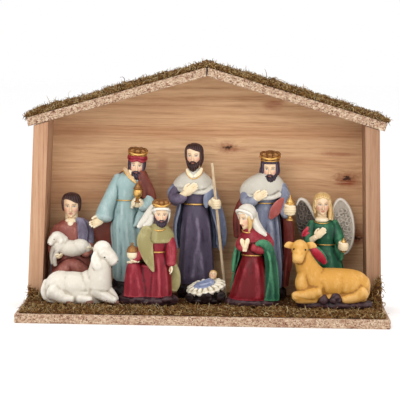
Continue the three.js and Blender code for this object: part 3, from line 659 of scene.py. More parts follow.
steel = Paint("nail_steel")
scratch = steel.noise(steel.place((1, 1, 6)), 0.4, 3)
steel.bump(scratch, 0.15)
nail_steel = steel.finish(steel.mix(scratch, "#8b8d90", "#b9babb"),
                          steel.range(scratch, 0.3, 0.7, 0.28, 0.45),
                          metallic=1.0)
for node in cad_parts:
    if "_nail_" in node:
        dress(node, nail_steel, bevel=0.12)


# Moss: a matted bed with thousands of curled strands growing out of it
def moss_material():
    paint = Paint("moss_fibre")
    tint = paint.attribute("tint").outputs["Fac"]
    clumps = paint.noise(paint.place(), 6, 3, 0.6)
    straw = paint.ramp(tint, [
        (0.0, "#2a180c"), (0.2, "#5b381b"), (0.42, "#895e30"), (0.6, "#a67f4a"), (0.8, "#c4a571"),
        (1.0, "#dccba4"),
    ])
    green = paint.ramp(tint, [
        (0.0, "#1c1c0c"), (0.3, "#46451f"), (0.55, "#6e6a35"), (0.8, "#968f55"), (1.0, "#bbb384"),
    ])
    base = paint.mix(paint.range(clumps, 0.56, 0.72, 0, 0.5), straw, green)
    fibres = paint.noise(paint.place((1, 1, 1)), 0.5, 4, 0.7)
    paint.bump(fibres, 0.6)
    base = paint.mix(paint.range(fibres, 0.35, 0.65, 0.4, 0), base, "#1c1108")
    return paint.finish(base, 0.9, specular=0.15)


moss_paint = moss_material()


def add_tint(mesh, values):
    layer = mesh.attributes.new("tint", "FLOAT", "POINT")
    layer.data.foreach_set("value", np.asarray(values, np.float32))


def strands(roots, facing, count_points=7, length=(3.5, 8), radius=(0.2, 0.5), curl=(0.25, 1.0), lift=0.7):
    """Curled fibres growing from roots: three-sided tubes that coil and thin out to a tip."""
    number = len(roots)
    heading = facing * lift + rng.normal(size=(number, 3)) * 0.8
    heading /= np.linalg.norm(heading, axis=1)[:, None]
    axis = np.cross(heading, rng.normal(size=(number, 3)))
    axis /= np.linalg.norm(axis, axis=1)[:, None] + 1e-9
    bend = rng.uniform(*curl, number)[:, None]
    reach = rng.uniform(*length, number) / (count_points - 1)
    line = [roots - heading * 0.8]
    for _ in range(count_points - 1):
        line.append(line[-1] + heading * reach[:, None])
        heading = heading * np.cos(bend) + np.cross(axis, heading) * np.sin(bend)
        heading += rng.normal(size=(number, 3)) * 0.22
        heading /= np.linalg.norm(heading, axis=1)[:, None]
    line = np.stack(line, 1)
    forward = np.gradient(line, axis=1)
    side = np.cross(forward, axis[:, None] + 0.3 * forward)
    side /= np.linalg.norm(side, axis=2)[..., None] + 1e-9
    other = np.cross(forward, side)
    other /= np.linalg.norm(other, axis=2)[..., None] + 1e-9
    thick = rng.uniform(*radius, number)[:, None] * np.linspace(1, 0.3, count_points)
    turn = np.arange(3) * 2 * math.pi / 3
    rings = (
        line[:, :, None]
        + side[:, :, None] * (thick[..., None] * np.cos(turn))[..., None]
        + other[:, :, None] * (thick[..., None] * np.sin(turn))[..., None]
    )
    first = (np.arange(number) * count_points * 3)[:, None, None]
    row = (np.arange(count_points - 1) * 3)[None, :, None]
    a = first + row + np.arange(3)
    b = first + row + (np.arange(3) + 1) % 3
    quads = np.stack([a, b, b + 3, a + 3], -1).reshape(-1, 4)
    ends = (first[:, 0] + (count_points - 1) * 3 + np.arange(3)).reshape(-1, 3)
    shade = rng.beta(1.6, 1.7, number)[:, None] + np.linspace(-0.12, 0.12, count_points)
    return rings.reshape(-1, 3), quads.tolist() + ends.tolist(), np.repeat(shade.ravel(), 3)


def scattered(mesh, count, keep):
    """Random points on the faces of a mesh where keep(points, normals) is true."""
    mesh.calc_loop_triangles()
    corners = np.empty(len(mesh.loop_triangles) * 3, np.int32)
    mesh.loop_triangles.foreach_get("vertices", corners)
    corners = positions(mesh)[corners.reshape(-1, 3)]
    across = np.cross(corners[:, 1] - corners[:, 0], corners[:, 2] - corners[:, 0])
    area = np.linalg.norm(across, axis=1)
    facing = across / (area[:, None] + 1e-12)
    area = area * keep(corners.mean(1), facing)
    chosen = rng.choice(len(area), count, p=area / area.sum())
    u, v = rng.random((2, count, 1))
    flip = u + v > 1
    u, v = np.where(flip, 1 - u, u), np.where(flip, 1 - v, v)
    a, b, c = corners[chosen].transpose(1, 0, 2)
    return a + u * (b - a) + v * (c - a), facing[chosen]


def moss_bed(name, node, tilt=0.0, clump=0.8):
    def carve(points, facing):
        lumps = clump * rough(points, 9, 14) + 0.8 * rough(points, 4, 11) + 0.6 * rough(points, 1.6, 12)
        under = smooth_step(facing[:, 0] * math.sin(tilt) + facing[:, 2] * math.cos(tilt), -0.9, -0.4)
        return points + facing * ((0.8 * lumps - 0.7) * under)[:, None]
    bed = remade(name, node, 1.1, carve)
    values = 0.22 + 0.25 * rough(positions(bed.data), 2, 13)
    add_tint(bed.data, values)
    bed.data.materials.append(moss_paint)
    return bed


def moss_strands(name, bed, count, keep, **sizes):
    roots, facing = scattered(bed.data, count, keep)
    points, faces, shade = strands(roots, facing, **sizes)
    mesh = bpy.data.meshes.new(name)
    mesh.from_pydata((points * MM).tolist(), [], faces)
    mesh.update()
    add_tint(mesh, shade)
    mesh.shade_smooth()
    mesh.materials.append(moss_paint)
    piece = linked(name, mesh)
    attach(piece, "stable")
    return piece


def at_foot(points):
    """Beside the walls' feet, where a tuft stands up."""
    return (np.abs(points[:, 0]) > 126) * (points[:, 1] > -6) * (points[:, 1] < WALL_FACE)


# How far back the moss in front reaches, on the floor and on the roof
STRIP_BACK = -36
ROOF_FRONT_BACK = 20
floor_bed = moss_bed("moss_floor_bed", "floor_moss")
moss_strands("moss_floor_front", floor_bed, 4600,
             lambda p, n: (n[:, 2] > -0.2) * (p[:, 1] < STRIP_BACK), length=(3, 8), lift=0.5)
moss_strands("moss_floor_middle", floor_bed, 2600,
             lambda p, n: (n[:, 2] > 0.3) * (p[:, 1] >= STRIP_BACK), length=(1.5, 4.5), lift=0.3)
moss_strands("moss_floor_tufts", floor_bed, 520, lambda p, n: at_foot(p) * (n[:, 2] > -0.2),
             length=(4, 9), lift=0.75, curl=(0.3, 1.0))
for side, sign in (("left", -1), ("right", 1)):
    bed = moss_bed(f"moss_roof_bed_{side}", f"roof_moss_{side}", sign * pitch, 1.9)
    above = np.array([sign * math.sin(pitch), 0, math.cos(pitch)])
    moss_strands(f"moss_roof_front_{side}", bed, 4300,
                 lambda p, n: (n @ above > -0.3) * (p[:, 1] < ROOF_FRONT_BACK), length=(2.5, 6.5),
                 lift=0.35)
    moss_strands(f"moss_roof_rest_{side}", bed, 3300,
                 lambda p, n: (n @ above > -0.3) * (p[:, 1] >= ROOF_FRONT_BACK), length=(2.5, 6), lift=0.4)
    moss_strands(f"moss_roof_sprigs_{side}", bed, 26, lambda p, n: (n @ above > 0.3) * (p[:, 1] < 50),
                 length=(6, 11), lift=1.4, curl=(0.1, 0.6), radius=(0.25, 0.5))


# Colours of the figures: name, paint, painted shade and pooling in hollows, painted highlight and wear on
# ridges
def glazes(rows):
    return {name: glaze(name, *colors, **(extra[0] if extra else {})) for name, colors, *extra in rows}


coats = glazes([
    ("earth_brown", ("#2c181c", "#0f0809", "#4f373a"), {"roughness": 0.4}),
    ("black_brown", ("#170a0a", "#0a0404", "#30201f"), {"roughness": 0.4}),
    ("skin_hands", ("#e6d0aa", "#b08a5e", "#f3e6cc")), ("russet", ("#8a4d43", "#522721", "#bb7e70")),
    ("slate_violet", ("#5b5264", "#2f2a36", "#857f92")), ("sky_robe", ("#94adac", "#53696a", "#b9c9c7")),
    ("rust_cloak", ("#673025", "#3b1c17", "#8b4b3b")), ("crimson", ("#841827", "#470a13", "#b04851")),
    ("dress_crimson", ("#680710", "#320306", "#a83a44")),
    ("aubergine", ("#514759", "#2b2433", "#7c7084")),
    ("harbour_blue", ("#666d84", "#373c50", "#9297a8")),
    ("robe_blue", ("#6f7488", "#3c4053", "#a0a3af")), ("shawl_grey", ("#c1bbae", "#837d70", "#ddd8cc")),
    ("scarf_white", ("#cfc8bb", "#958c7b", "#ebe6dc")), ("olive", ("#8f8455", "#564c2b", "#b5aa7a")),
    ("forest", ("#1d5039", "#0b241a", "#4d8a63")), ("wine", ("#591a13", "#2e0a07", "#823d31")),
    ("wine_lining", ("#9c4a44", "#6a2622", "#bd7169")),
    ("lining_red", ("#b01a30", "#620b18", "#cf5260")),
    ("blanket_blue", ("#7d86a4", "#4a5272", "#a9b0c6")), ("bedding", ("#ddd2ba", "#94866a", "#f3ecdc")),
    ("wool", ("#d8d0c2", "#bbb1a0", "#ebe5da"), {"roughness": 0.5}),
    ("hoof_brown", ("#6b4238", "#38201b", "#8f6355")),
    ("ox_hide", ("#c8913f", "#9a6828", "#dfb069"), {"roughness": 0.5}),
    ("hair_dark", ("#2e1b1a", "#120909", "#573c38")), ("hair_black", ("#2c2028", "#120c10", "#564656")),
    ("hair_gold", ("#c9a163", "#8c6530", "#e4c895")),
    ("wing_light", ("#afa598", "#7b7166", "#cfc7bb"), {"roughness": 0.55}),
    # Painted shade: the left wing's coat is the wing paint darkened, as that wing is turned in away from
    # the light
    ("wing_in_painted_shade", ("#574c44", "#2e2621", "#85796e"), {"roughness": 0.55}),
    ("cream_cup", ("#ead9b4", "#b08d58", "#f8efdc")), ("neck_tan", ("#c4a580", "#8d6c4b", "#dfc7a6")),
    ("rim_beige", ("#c9c0b2", "#8b8276", "#e6dfd4")),
])
gold = gilt("gold_trim")
old_gold = gilt("old_gold", "#96683a", "#43260f", 0.7)
dowel = Paint("dowel_wood")
lengthwise = dowel.noise(dowel.place((2.2, 2.2, 0.12)), 1.0, 4, 0.6)
dowel.bump(lengthwise, 0.25)
dowel_tone = dowel.ramp(lengthwise, [(0.3, "#a68a68"), (0.5, "#c7ae8c"), (0.72, "#dfcdb0")])
straw_wood = dowel.finish(dowel_tone, 0.65, specular=0.3)


def face_paint(name, brow, iris="#3b2a22", lips="#b5584e", blush="#d98a78"):
    """Skin with painted eyes, brows and lips, by the head's own measure: x across, z up."""
    paint = Paint(name)
    split = paint.node("ShaderNodeSeparateXYZ", Vector=paint.attribute("face").outputs["Vector"])
    x, y, z = (split.outputs[k] for k in "XYZ")
    side = paint.math("ABSOLUTE", x)

    def spot(x0, z0, rx, rz, soft=0.25, across=side):
        a = paint.math("DIVIDE", paint.math("SUBTRACT", across, x0), rx)
        b = paint.math("DIVIDE", paint.math("SUBTRACT", z, z0), rz)
        squares = paint.math("ADD", paint.math("MULTIPLY", a, a), paint.math("MULTIPLY", b, b))
        return paint.range(paint.math("SQRT", squares), 1 - soft, 1 + soft, 1, 0)

    hollow = paint.attribute("hollow").outputs["Fac"]
    patches = paint.noise(paint.place(), 4, 2)
    color = paint.mix(paint.range(patches, 0.3, 0.7), "#e3bf9a", "#edceaa")
    # Painted shade: the skin darkens in the face's hollows
    color = paint.mix(paint.range(hollow, 0.1, 0.8, 0, 0.7), color, "#b27d5c")
    color = paint.mix(paint.math("MULTIPLY", spot(0.42, -0.3, 0.24, 0.2, 0.8), 0.55), color, blush)
    color = paint.mix(paint.math("MULTIPLY", spot(0.27, 0.015, 0.15, 0.085, 0.35), 0.45), color, "#8a5a44")
    color = paint.mix(spot(0.27, 0.0, 0.112, 0.052), color, "#f0e8dc")
    color = paint.mix(spot(0.27, 0.004, 0.047, 0.05), color, iris)
    lids = paint.math("SUBTRACT", spot(0.27, 0.01, 0.135, 0.075), spot(0.27, -0.02, 0.125, 0.07), True)
    color = paint.mix(lids, color, "#2a1a14")
    brows = paint.math("SUBTRACT", spot(0.28, 0.15, 0.17, 0.075), spot(0.28, 0.105, 0.19, 0.075), True)
    color = paint.mix(brows, color, brow)
    color = paint.mix(paint.math("MULTIPLY", spot(0, -0.58, 0.17, 0.06, 0.3, x), 0.85), color, lips)
    paint.bump(paint.noise(paint.place(), 0.4, 2), 0.05)
    front = paint.range(y, 0.0, 0.15, 0, 1)
    color = paint.mix(front, color, "#e3bf9a")
    return paint.finish(color, paint.range(patches, 0.3, 0.7, 0.38, 0.48), coat=0.1)


faces = {
    "dark": face_paint("face_dark_brows", "#3a2620"),
    "fair": face_paint("face_fair_brows", "#8a6234", "#3d4a3a", "#b8504c", "#dc8f80"),
}


class Head:
    """A head's place: its own measure has half its height as 1, x across, -y forward, z up."""

    def __init__(self, x, y, z, half, turn=0, nod=0, tilt=0):
        self.middle = xyz(x, y, z)
        self.half = half
        spin = (Matrix.Rotation(math.radians(turn), 3, "Z") @ Matrix.Rotation(math.radians(tilt), 3, "Y")
                @ Matrix.Rotation(math.radians(nod), 3, "X"))
        self.spin = np.array(spin)

    def place(self, points):
        return np.asarray(points, float) * self.half @ self.spin.T + self.middle

    def form(self, form):
        return self.place(form[0]), form[1]

    def rows(self, stations):
        """Stations for tube() written in the head's measure."""
        stations = np.array([list(row) + [row[3]] * (5 - len(row)) for row in stations], float)
        return np.hstack([self.place(stations[:, :3]), stations[:, 3:] * self.half])


# Half width, depth to the front and depth to the back of a head, from its crown to its chin
HEAD_LEVELS = [1, 0.97, 0.9, 0.78, 0.6, 0.35, 0.1, -0.1, -0.3, -0.5, -0.68, -0.82, -0.92, -0.985, -1]
HEAD_WIDTH = [0.02, 0.2, 0.37, 0.52, 0.63, 0.68, 0.67, 0.65, 0.61, 0.54, 0.45, 0.35, 0.25, 0.12, 0.02]
HEAD_FRONT = [0.02, 0.2, 0.38, 0.53, 0.64, 0.69, 0.69, 0.68, 0.68, 0.67, 0.65, 0.62, 0.55, 0.4, 0.3]
HEAD_BACK = [0.02, 0.28, 0.5, 0.68, 0.82, 0.9, 0.88, 0.82, 0.7, 0.52, 0.36, 0.22, 0.1, 0.0, -0.05]


def head_surface(rise, turn, grow=0.0):
    """Points of the plain head form at heights rise and angles turn, the front being -90."""
    order = HEAD_LEVELS[::-1]
    width = np.interp(rise, order, HEAD_WIDTH[::-1]) + grow
    front = np.interp(rise, order, HEAD_FRONT[::-1]) + grow
    back = np.interp(rise, order, HEAD_BACK[::-1]) + grow
    ahead = np.sin(turn) < 0
    depth = np.where(ahead, front, back)
    return np.stack([width * np.cos(turn), depth * np.sin(turn), rise * (1 + grow)], -1)


def swell(points, x, z, rx, rz, height):
    """How far a rounded bump at (x, z) of the face lifts the points."""
    away = ((points[..., 0] - x) / rx) ** 2 + ((points[..., 2] - z) / rz) ** 2
    return height * np.exp(-away)


def face_relief(points):
    """Calm, even features by drawing-book proportions: eyes halfway up, nose a quarter below."""
    out = 0
    for side in (-1, 1):
        out = out + swell(points, side * 0.27, 0.0, 0.17, 0.12, -0.075)
        out = out + swell(points, side * 0.27, 0.0, 0.105, 0.06, 0.05)
        out = out + swell(points, side * 0.27, 0.145, 0.2, 0.05, 0.035)
        out = out + swell(points, side * 0.4, -0.28, 0.18, 0.16, 0.035)
        out = out + swell(points, side * 0.085, -0.36, 0.05, 0.05, 0.07)
        out = out + swell(points, side * 0.19, -0.58, 0.05, 0.05, -0.025)
    x, z = points[..., 0], points[..., 2]
    down = np.clip((0.1 - z) / 0.45, 0, 1)
    ends = smooth_step(z, -0.47, -0.36) * (1 - smooth_step(z, 0.02, 0.16))
    out = out + (0.07 + 0.17 * down) * np.exp(-(x / (0.065 + 0.05 * down)) ** 2) * ends
    out = out + swell(points, 0, -0.535, 0.16, 0.032, 0.045) + swell(points, 0, -0.625, 0.13, 0.036, 0.05)
    out = out + swell(points, 0, -0.58, 0.17, 0.016, -0.03) + swell(points, 0, -0.715, 0.14, 0.04, -0.03)
    out = out + swell(points, 0, -0.86, 0.16, 0.1, 0.05)
    return out


def grid_mesh(name, points, extra=None):
    """A closed skin over rows of points, with an optional vector stored at each point."""
    shape = points.shape[:2]
    mesh = mesh_of(name, [skin(points)])
    if extra is not None:
        layer = mesh.attributes.new("face", "FLOAT_VECTOR", "POINT")
        layer.data.foreach_set("vector", extra.reshape(-1, 3).astype(np.float32).ravel())
    mark_hollows(mesh, 5, 0.16)
    mesh.shade_smooth()
    return mesh


class Figure:
    """A loose figure: pieces drawn in millimetres from the middle of its foot."""

    def __init__(self, node, x, y):
        low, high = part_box(node)
        self.node = node
        self.origin = xyz(low.x / MM + x, low.y / MM + y, low.z / MM)
        self.first = True

    def keep(self, piece, material, slot="painted_ceramic"):
        piece.data.materials.clear()
        piece.data.materials.append(material)
        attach(piece, self.node)
        if self.first:
            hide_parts(self.node)
            self.first = False
        return piece

    def clay(self, name, coat, forms, **how):
        """Forms melted together and painted in one colour."""
        forms = [moved(form, self.origin) for form in forms]
        material = coats[coat] if isinstance(coat, str) else coat
        slot = "gold_paint" if material in (gold, old_gold) else "painted_ceramic"
        return self.keep(sculpt(f"{self.node}_{name}", forms, **how), material, slot)

    def face(self, head, look="dark"):
        rise = np.cos(np.linspace(0.02, math.pi - 0.02, 110))[:, None]
        turn = np.linspace(0, 2 * math.pi, 150, endpoint=False)[None]
        # Points are closer together at the front
        turn = turn - 0.45 * np.cos(turn)
        plain = head_surface(rise + 0 * turn, turn + 0 * rise)
        ahead = smooth_step(-plain[..., 1], 0.12, 0.4)
        relief = face_relief(plain) * ahead
        points = plain + np.stack([0 * relief, -relief, 0 * relief], -1)
        placed = head.place(points.reshape(-1, 3)).reshape(points.shape) + self.origin
        mesh = grid_mesh(f"{self.node}_face", placed[::-1], plain[::-1])
        return self.keep(linked(f"{self.node}_face", mesh), faces[look])

    def hair(self, head, coat, line, grow=0.13, strands_of=26, low=-0.75, wave=0.022, part=None):
        """A cap of combed hair. line(x, z) is 1 where hair covers the front, 0 where the face is bare."""
        rise = np.linspace(1, low, 90)[:, None]
        turn = np.linspace(0, 2 * math.pi, 200, endpoint=False)[None]
        plain = head_surface(rise + 0 * turn, turn + 0 * rise)
        ahead = smooth_step(-plain[..., 1], -0.05, 0.18)
        bare = ahead * (1 - line(plain[..., 0], plain[..., 2]))
        swirl = strands_of * (turn + 0.12 * np.sin(3 * rise)) + 5 * rise
        comb = np.cos(swirl) * smooth_step(0.98 - rise, 0, 0.3)
        if part is not None:
            parting = np.exp(-((plain[..., 0] - part) / 0.05) ** 2)
            comb = comb - 1.6 * parting * smooth_step(plain[..., 2], 0.5, 0.7)
        lift = grow * (1 - bare) - 0.1 * bare + wave * comb * (1 - bare)
        grown = head_surface(rise + 0 * turn, turn + 0 * rise, 1.0) - plain
        grown /= np.linalg.norm(grown, axis=-1)[..., None] + 1e-9
        points = plain + grown * lift[..., None]
        placed = head.place(points.reshape(-1, 3)).reshape(points.shape) + self.origin
        mesh = grid_mesh(f"{self.node}_hair", placed[::-1])
        return self.keep(linked(f"{self.node}_hair", mesh), coats[coat])

    def beard(self, head, coat, length=0.5, width=0.48):
        """A trimmed beard with a moustache, combed downwards."""
        forms = [
            head.form(ball(0, -0.42, -0.86, width, 0.36, 0.34)),
            tube(head.rows([[-0.6, -0.12, 0.0, 0.07], [-0.56, -0.26, -0.38, 0.12],
                            [-0.32, -0.46, -0.76, 0.22], [0, -0.58, -0.92, 0.24],
                            [0.32, -0.46, -0.76, 0.22], [0.56, -0.26, -0.38, 0.12],
                            [0.6, -0.12, 0.0, 0.07]])),
            tube(head.rows([[0, -0.56, -0.85, 0.3, 0.26], [0, -0.52, -1.0, width * 0.72, 0.28],
                            [0, -0.46, -0.95 - length * 0.6, width * 0.5, 0.22],
                            [0, -0.4, -0.95 - length, width * 0.2, 0.12]])),
        ]
        for side in (-1, 1):
            forms.append(tube(head.rows([[0, -0.79, -0.47, 0.055], [side * 0.14, -0.77, -0.49, 0.07],
                                         [side * 0.3, -0.66, -0.6, 0.07],
                                         [side * 0.38, -0.56, -0.74, 0.08]])))
        middle = head.middle + self.origin

        def comb(points, facing):
            from_middle = (points - middle) / head.half
            angle = np.arctan2(from_middle[:, 0], -from_middle[:, 1])
            waves = np.cos(angle * 22 + 2.2 * np.sin(from_middle[:, 2] * 7))
            return points + facing * (waves * head.half * 0.018)[:, None]
        return self.clay("beard", coat, forms, voxel=0.24, smooth=4, carve=comb)

    def neck(self, head, low, radius=0.42):
        top = head.middle + xyz(0, head.half * 0.15, -head.half * 0.55)
        return tube([[*low, head.half * radius * 1.15], [*top, head.half * radius]])

    def crown(self, head, radius=0.76, foot=0.55, top=1.25, lobes=7):
        """A low padded crown of rounded lobes; its bright rim, dipping at the brow, is partly a painted
        highlight.
        """
        tall = top - foot
        forms = [ball(0, 0.03, foot + tall * 0.4, radius * 0.92, radius * 0.92, tall * 0.6)]
        for a in np.linspace(0, 2 * math.pi, lobes, endpoint=False) + 0.2:
            x, y = radius * math.cos(a), radius * math.sin(a) + 0.03
            forms.append(tube([[x * 0.72, y * 0.72, foot, radius * 0.3],
                               [x * 0.76, y * 0.76, foot + tall * 0.5, radius * 0.34],
                               [x * 0.84, y * 0.84, top - tall * 0.3, radius * 0.36]], step=0.02))

        def rim(dip, height, thick, wide):
            turns = np.linspace(0, 2 * math.pi, 60)
            return tube(head.rows([[
                radius * wide * math.cos(a), radius * wide * math.sin(a) + 0.03,
                height + dip * max(0, -math.sin(a)) ** 3, thick] for a in turns]), sides=14)
        self.clay("crown", old_gold, [head.form(form) for form in forms], voxel=0.24, smooth=7)
        # Bright gilt rims: a trim whose brightness partly paints the highlight across the crown's front
        self.clay("crown_rim_and_highlight", gold, [
            rim(-0.16, foot + tall * 0.4, 0.11, 1.06), rim(-0.03, foot + 0.04, 0.05, 1.02),
        ], voxel=0.18, smooth=1)


def clasp(x, y, z, radius, rise, thick=1.25, start=150, end=400, lean=(0, 0, 1)):
    """Four fingers wrapped round something upright, with the palm behind them and a thumb over them."""
    up = xyz(*lean) / np.linalg.norm(lean)
    middle = xyz(x, y, z)

    def around(angle, wide=1.0):
        return xyz(radius * wide * math.cos(angle), radius * wide * math.sin(angle), 0)

    made = []
    for k, (wide, last) in enumerate([(0.95, end - 6), (1.06, end), (1.04, end - 10), (0.9, end - 26)]):
        level = middle + up * rise * (0.72 - 0.48 * k)
        turns = np.radians(np.linspace(start, last, 8))
        made.append(tube([[*(level + around(a, wide)), thick * (1.05 - 0.03 * k)] for a in turns],
                         sides=16))
    for a in np.radians(np.linspace(start - 20, start + 30, 3)):
        made.append(ball(*(middle + around(a, 1.0)), thick * 1.35, thick * 1.5, rise * 1.1))
    thumb = [[*(middle + up * (rise * (1.15 - 0.12 * i)) + around(a, 1.05)), thick * (1.15 - 0.1 * i)]
             for i, a in enumerate(np.radians([start - 10, start + 50, start + 95]))]
    made.append(tube(thumb, sides=16))
    return made


def hand(wrist, toward, palm, size, curl=0.35, spread=0.1, mirror=1):
    """A hand from its wrist: fingers run toward, and bend to the side that the palm faces."""
    z = xyz(*toward) / np.linalg.norm(toward)
    y = xyz(*palm) - z * np.dot(palm, z)
    y /= np.linalg.norm(y)
    x = np.cross(y, z) * mirror
    basis = np.stack([x, y, z], 1)

    def put(form):
        points, faces_of = form
        if mirror < 0:
            faces_of = [face[::-1] for face in faces_of]
        return points * size @ basis.T + xyz(*wrist), faces_of

    forms = [put(ball(0, 0, 0.26, 0.25, 0.13, 0.33))]
    forms.append(put(tube([[0, 0, -0.15, 0.17, 0.14], [0, 0, 0.1, 0.19, 0.13]], step=0.02)))
    for k, (across, reach) in enumerate([(-0.16, 0.4), (-0.055, 0.47), (0.055, 0.45), (0.155, 0.35)]):
        lean = across * spread * 8
        joints = [[across, 0, 0.38, 0.08]]
        angle = 0
        for _ in range(3):
            angle += curl
            x0, y0, z0, r0 = joints[-1]
            step = reach / 3
            joints.append([x0 + lean * step, y0 + math.sin(angle) * step, z0 + math.cos(angle) * step,
                           r0 * 0.93])
        forms.append(put(tube(joints, sides=14, step=0.03)))
    forms.append(put(tube([[-0.2, 0.03, 0.12, 0.09], [-0.3, 0.1, 0.32, 0.08], [-0.28, 0.16, 0.52, 0.065]],
                          sides=14, step=0.03)))
    return forms


def pleats(count, start, end, width, height, low, high, seed, twist=8):
    """Uneven folds side by side from angle start to end."""
    random = np.random.default_rng(seed)
    made = []
    for k in range(count):
        angle = start + (end - start) * (k + 0.5 + random.uniform(-0.22, 0.22)) / count
        made.append([angle, width * random.uniform(0.7, 1.25), height * random.uniform(0.55, 1.2), low,
                     high * random.uniform(0.82, 1.0), random.uniform(-twist, twist)])
    return made


def ring_of(x, y, z, rx, ry, thick, tilt=0.0, start=0, end=360, flat=1.0):
    """A cord or trim round a form: an ellipse about (x, y, z), raised by tilt at the back."""
    angles = np.radians(np.linspace(start, end, 48))
    rows = [[x + rx * math.cos(a), y + ry * math.sin(a), z + tilt * math.sin(a), thick,
             thick * flat] for a in angles]
    return tube(rows, sides=14)


def mound(half_width, half_depth, height, x=0, y=0, seed=1):
    """A low rocky foot with its underside flat."""
    return loft([
        [0, half_width - 1.2, half_depth - 1.2, x, y], [height * 0.3, half_width, half_depth, x, y],
        [height * 0.75, half_width - 0.5, half_depth - 0.5, x, y],
        [height, half_width - 3, half_depth - 3, x, y],
    ], pleats(9, -180, 180, 10, 0.7, 0, height + 9, seed, 0))


def rocky(origin, depth=0.5):
    def carve(points, facing):
        above = smooth_step(points[:, 2] - origin[2], 0.3, 1.2)
        lumps = rough(points, 3.4, 31) + 0.5 * rough(points, 1.4, 32)
        points = points + facing * (depth * lumps * above)[:, None]
        points[:, 2] = np.maximum(points[:, 2], origin[2])
        return points
    return carve


def jar(x, y, z, radius, height):
    """A gift jar: a cream bowl on a gilt foot, under a stepped gilt lid with a knob."""
    bowl = lathe([[0, 0.16], [0.3, 0.17], [0.72, 0.26], [0.95, 0.38], [1, 0.47], [0.93, 0.58],
                  [0.7, 0.64], [0, 0.64]], sides=40)
    foot = lathe([[0, 0], [0.72, 0], [0.76, 0.03], [0.6, 0.07], [0.36, 0.1], [0.32, 0.15], [0.45, 0.19],
                  [0, 0.19]], sides=40)
    cover = lathe([[0, 0.62], [0.9, 0.62], [1.0, 0.655], [0.92, 0.69], [0.72, 0.7], [0.74, 0.74],
                   [0.62, 0.8], [0.42, 0.86], [0.24, 0.9], [0.16, 0.92], [0.22, 0.95], [0.18, 0.985],
                   [0, 1.0]], sides=40)
    scale = xyz(radius, radius, height)
    put = [(form[0] * scale + xyz(x, y, z), form[1]) for form in (bowl, foot, cover)]
    return put[:1], put[1:]


# The staff that the father holds, by the figure's own measure
STAFF_THROUGH = (15, -13.5, 79.5)
STAFF_LEAN = math.radians(6.6)
STAFF_RADIUS = 1.25
STAFF_CLEARANCE = 0.3


def hairline(top, side):
    """Hair above a level line, and behind the temples."""
    def line(x, z):
        above = smooth_step(z, top - 0.05, top + 0.06)
        return np.clip(above + smooth_step(np.abs(x), side - 0.04, side + 0.04), 0, 1)
    return line


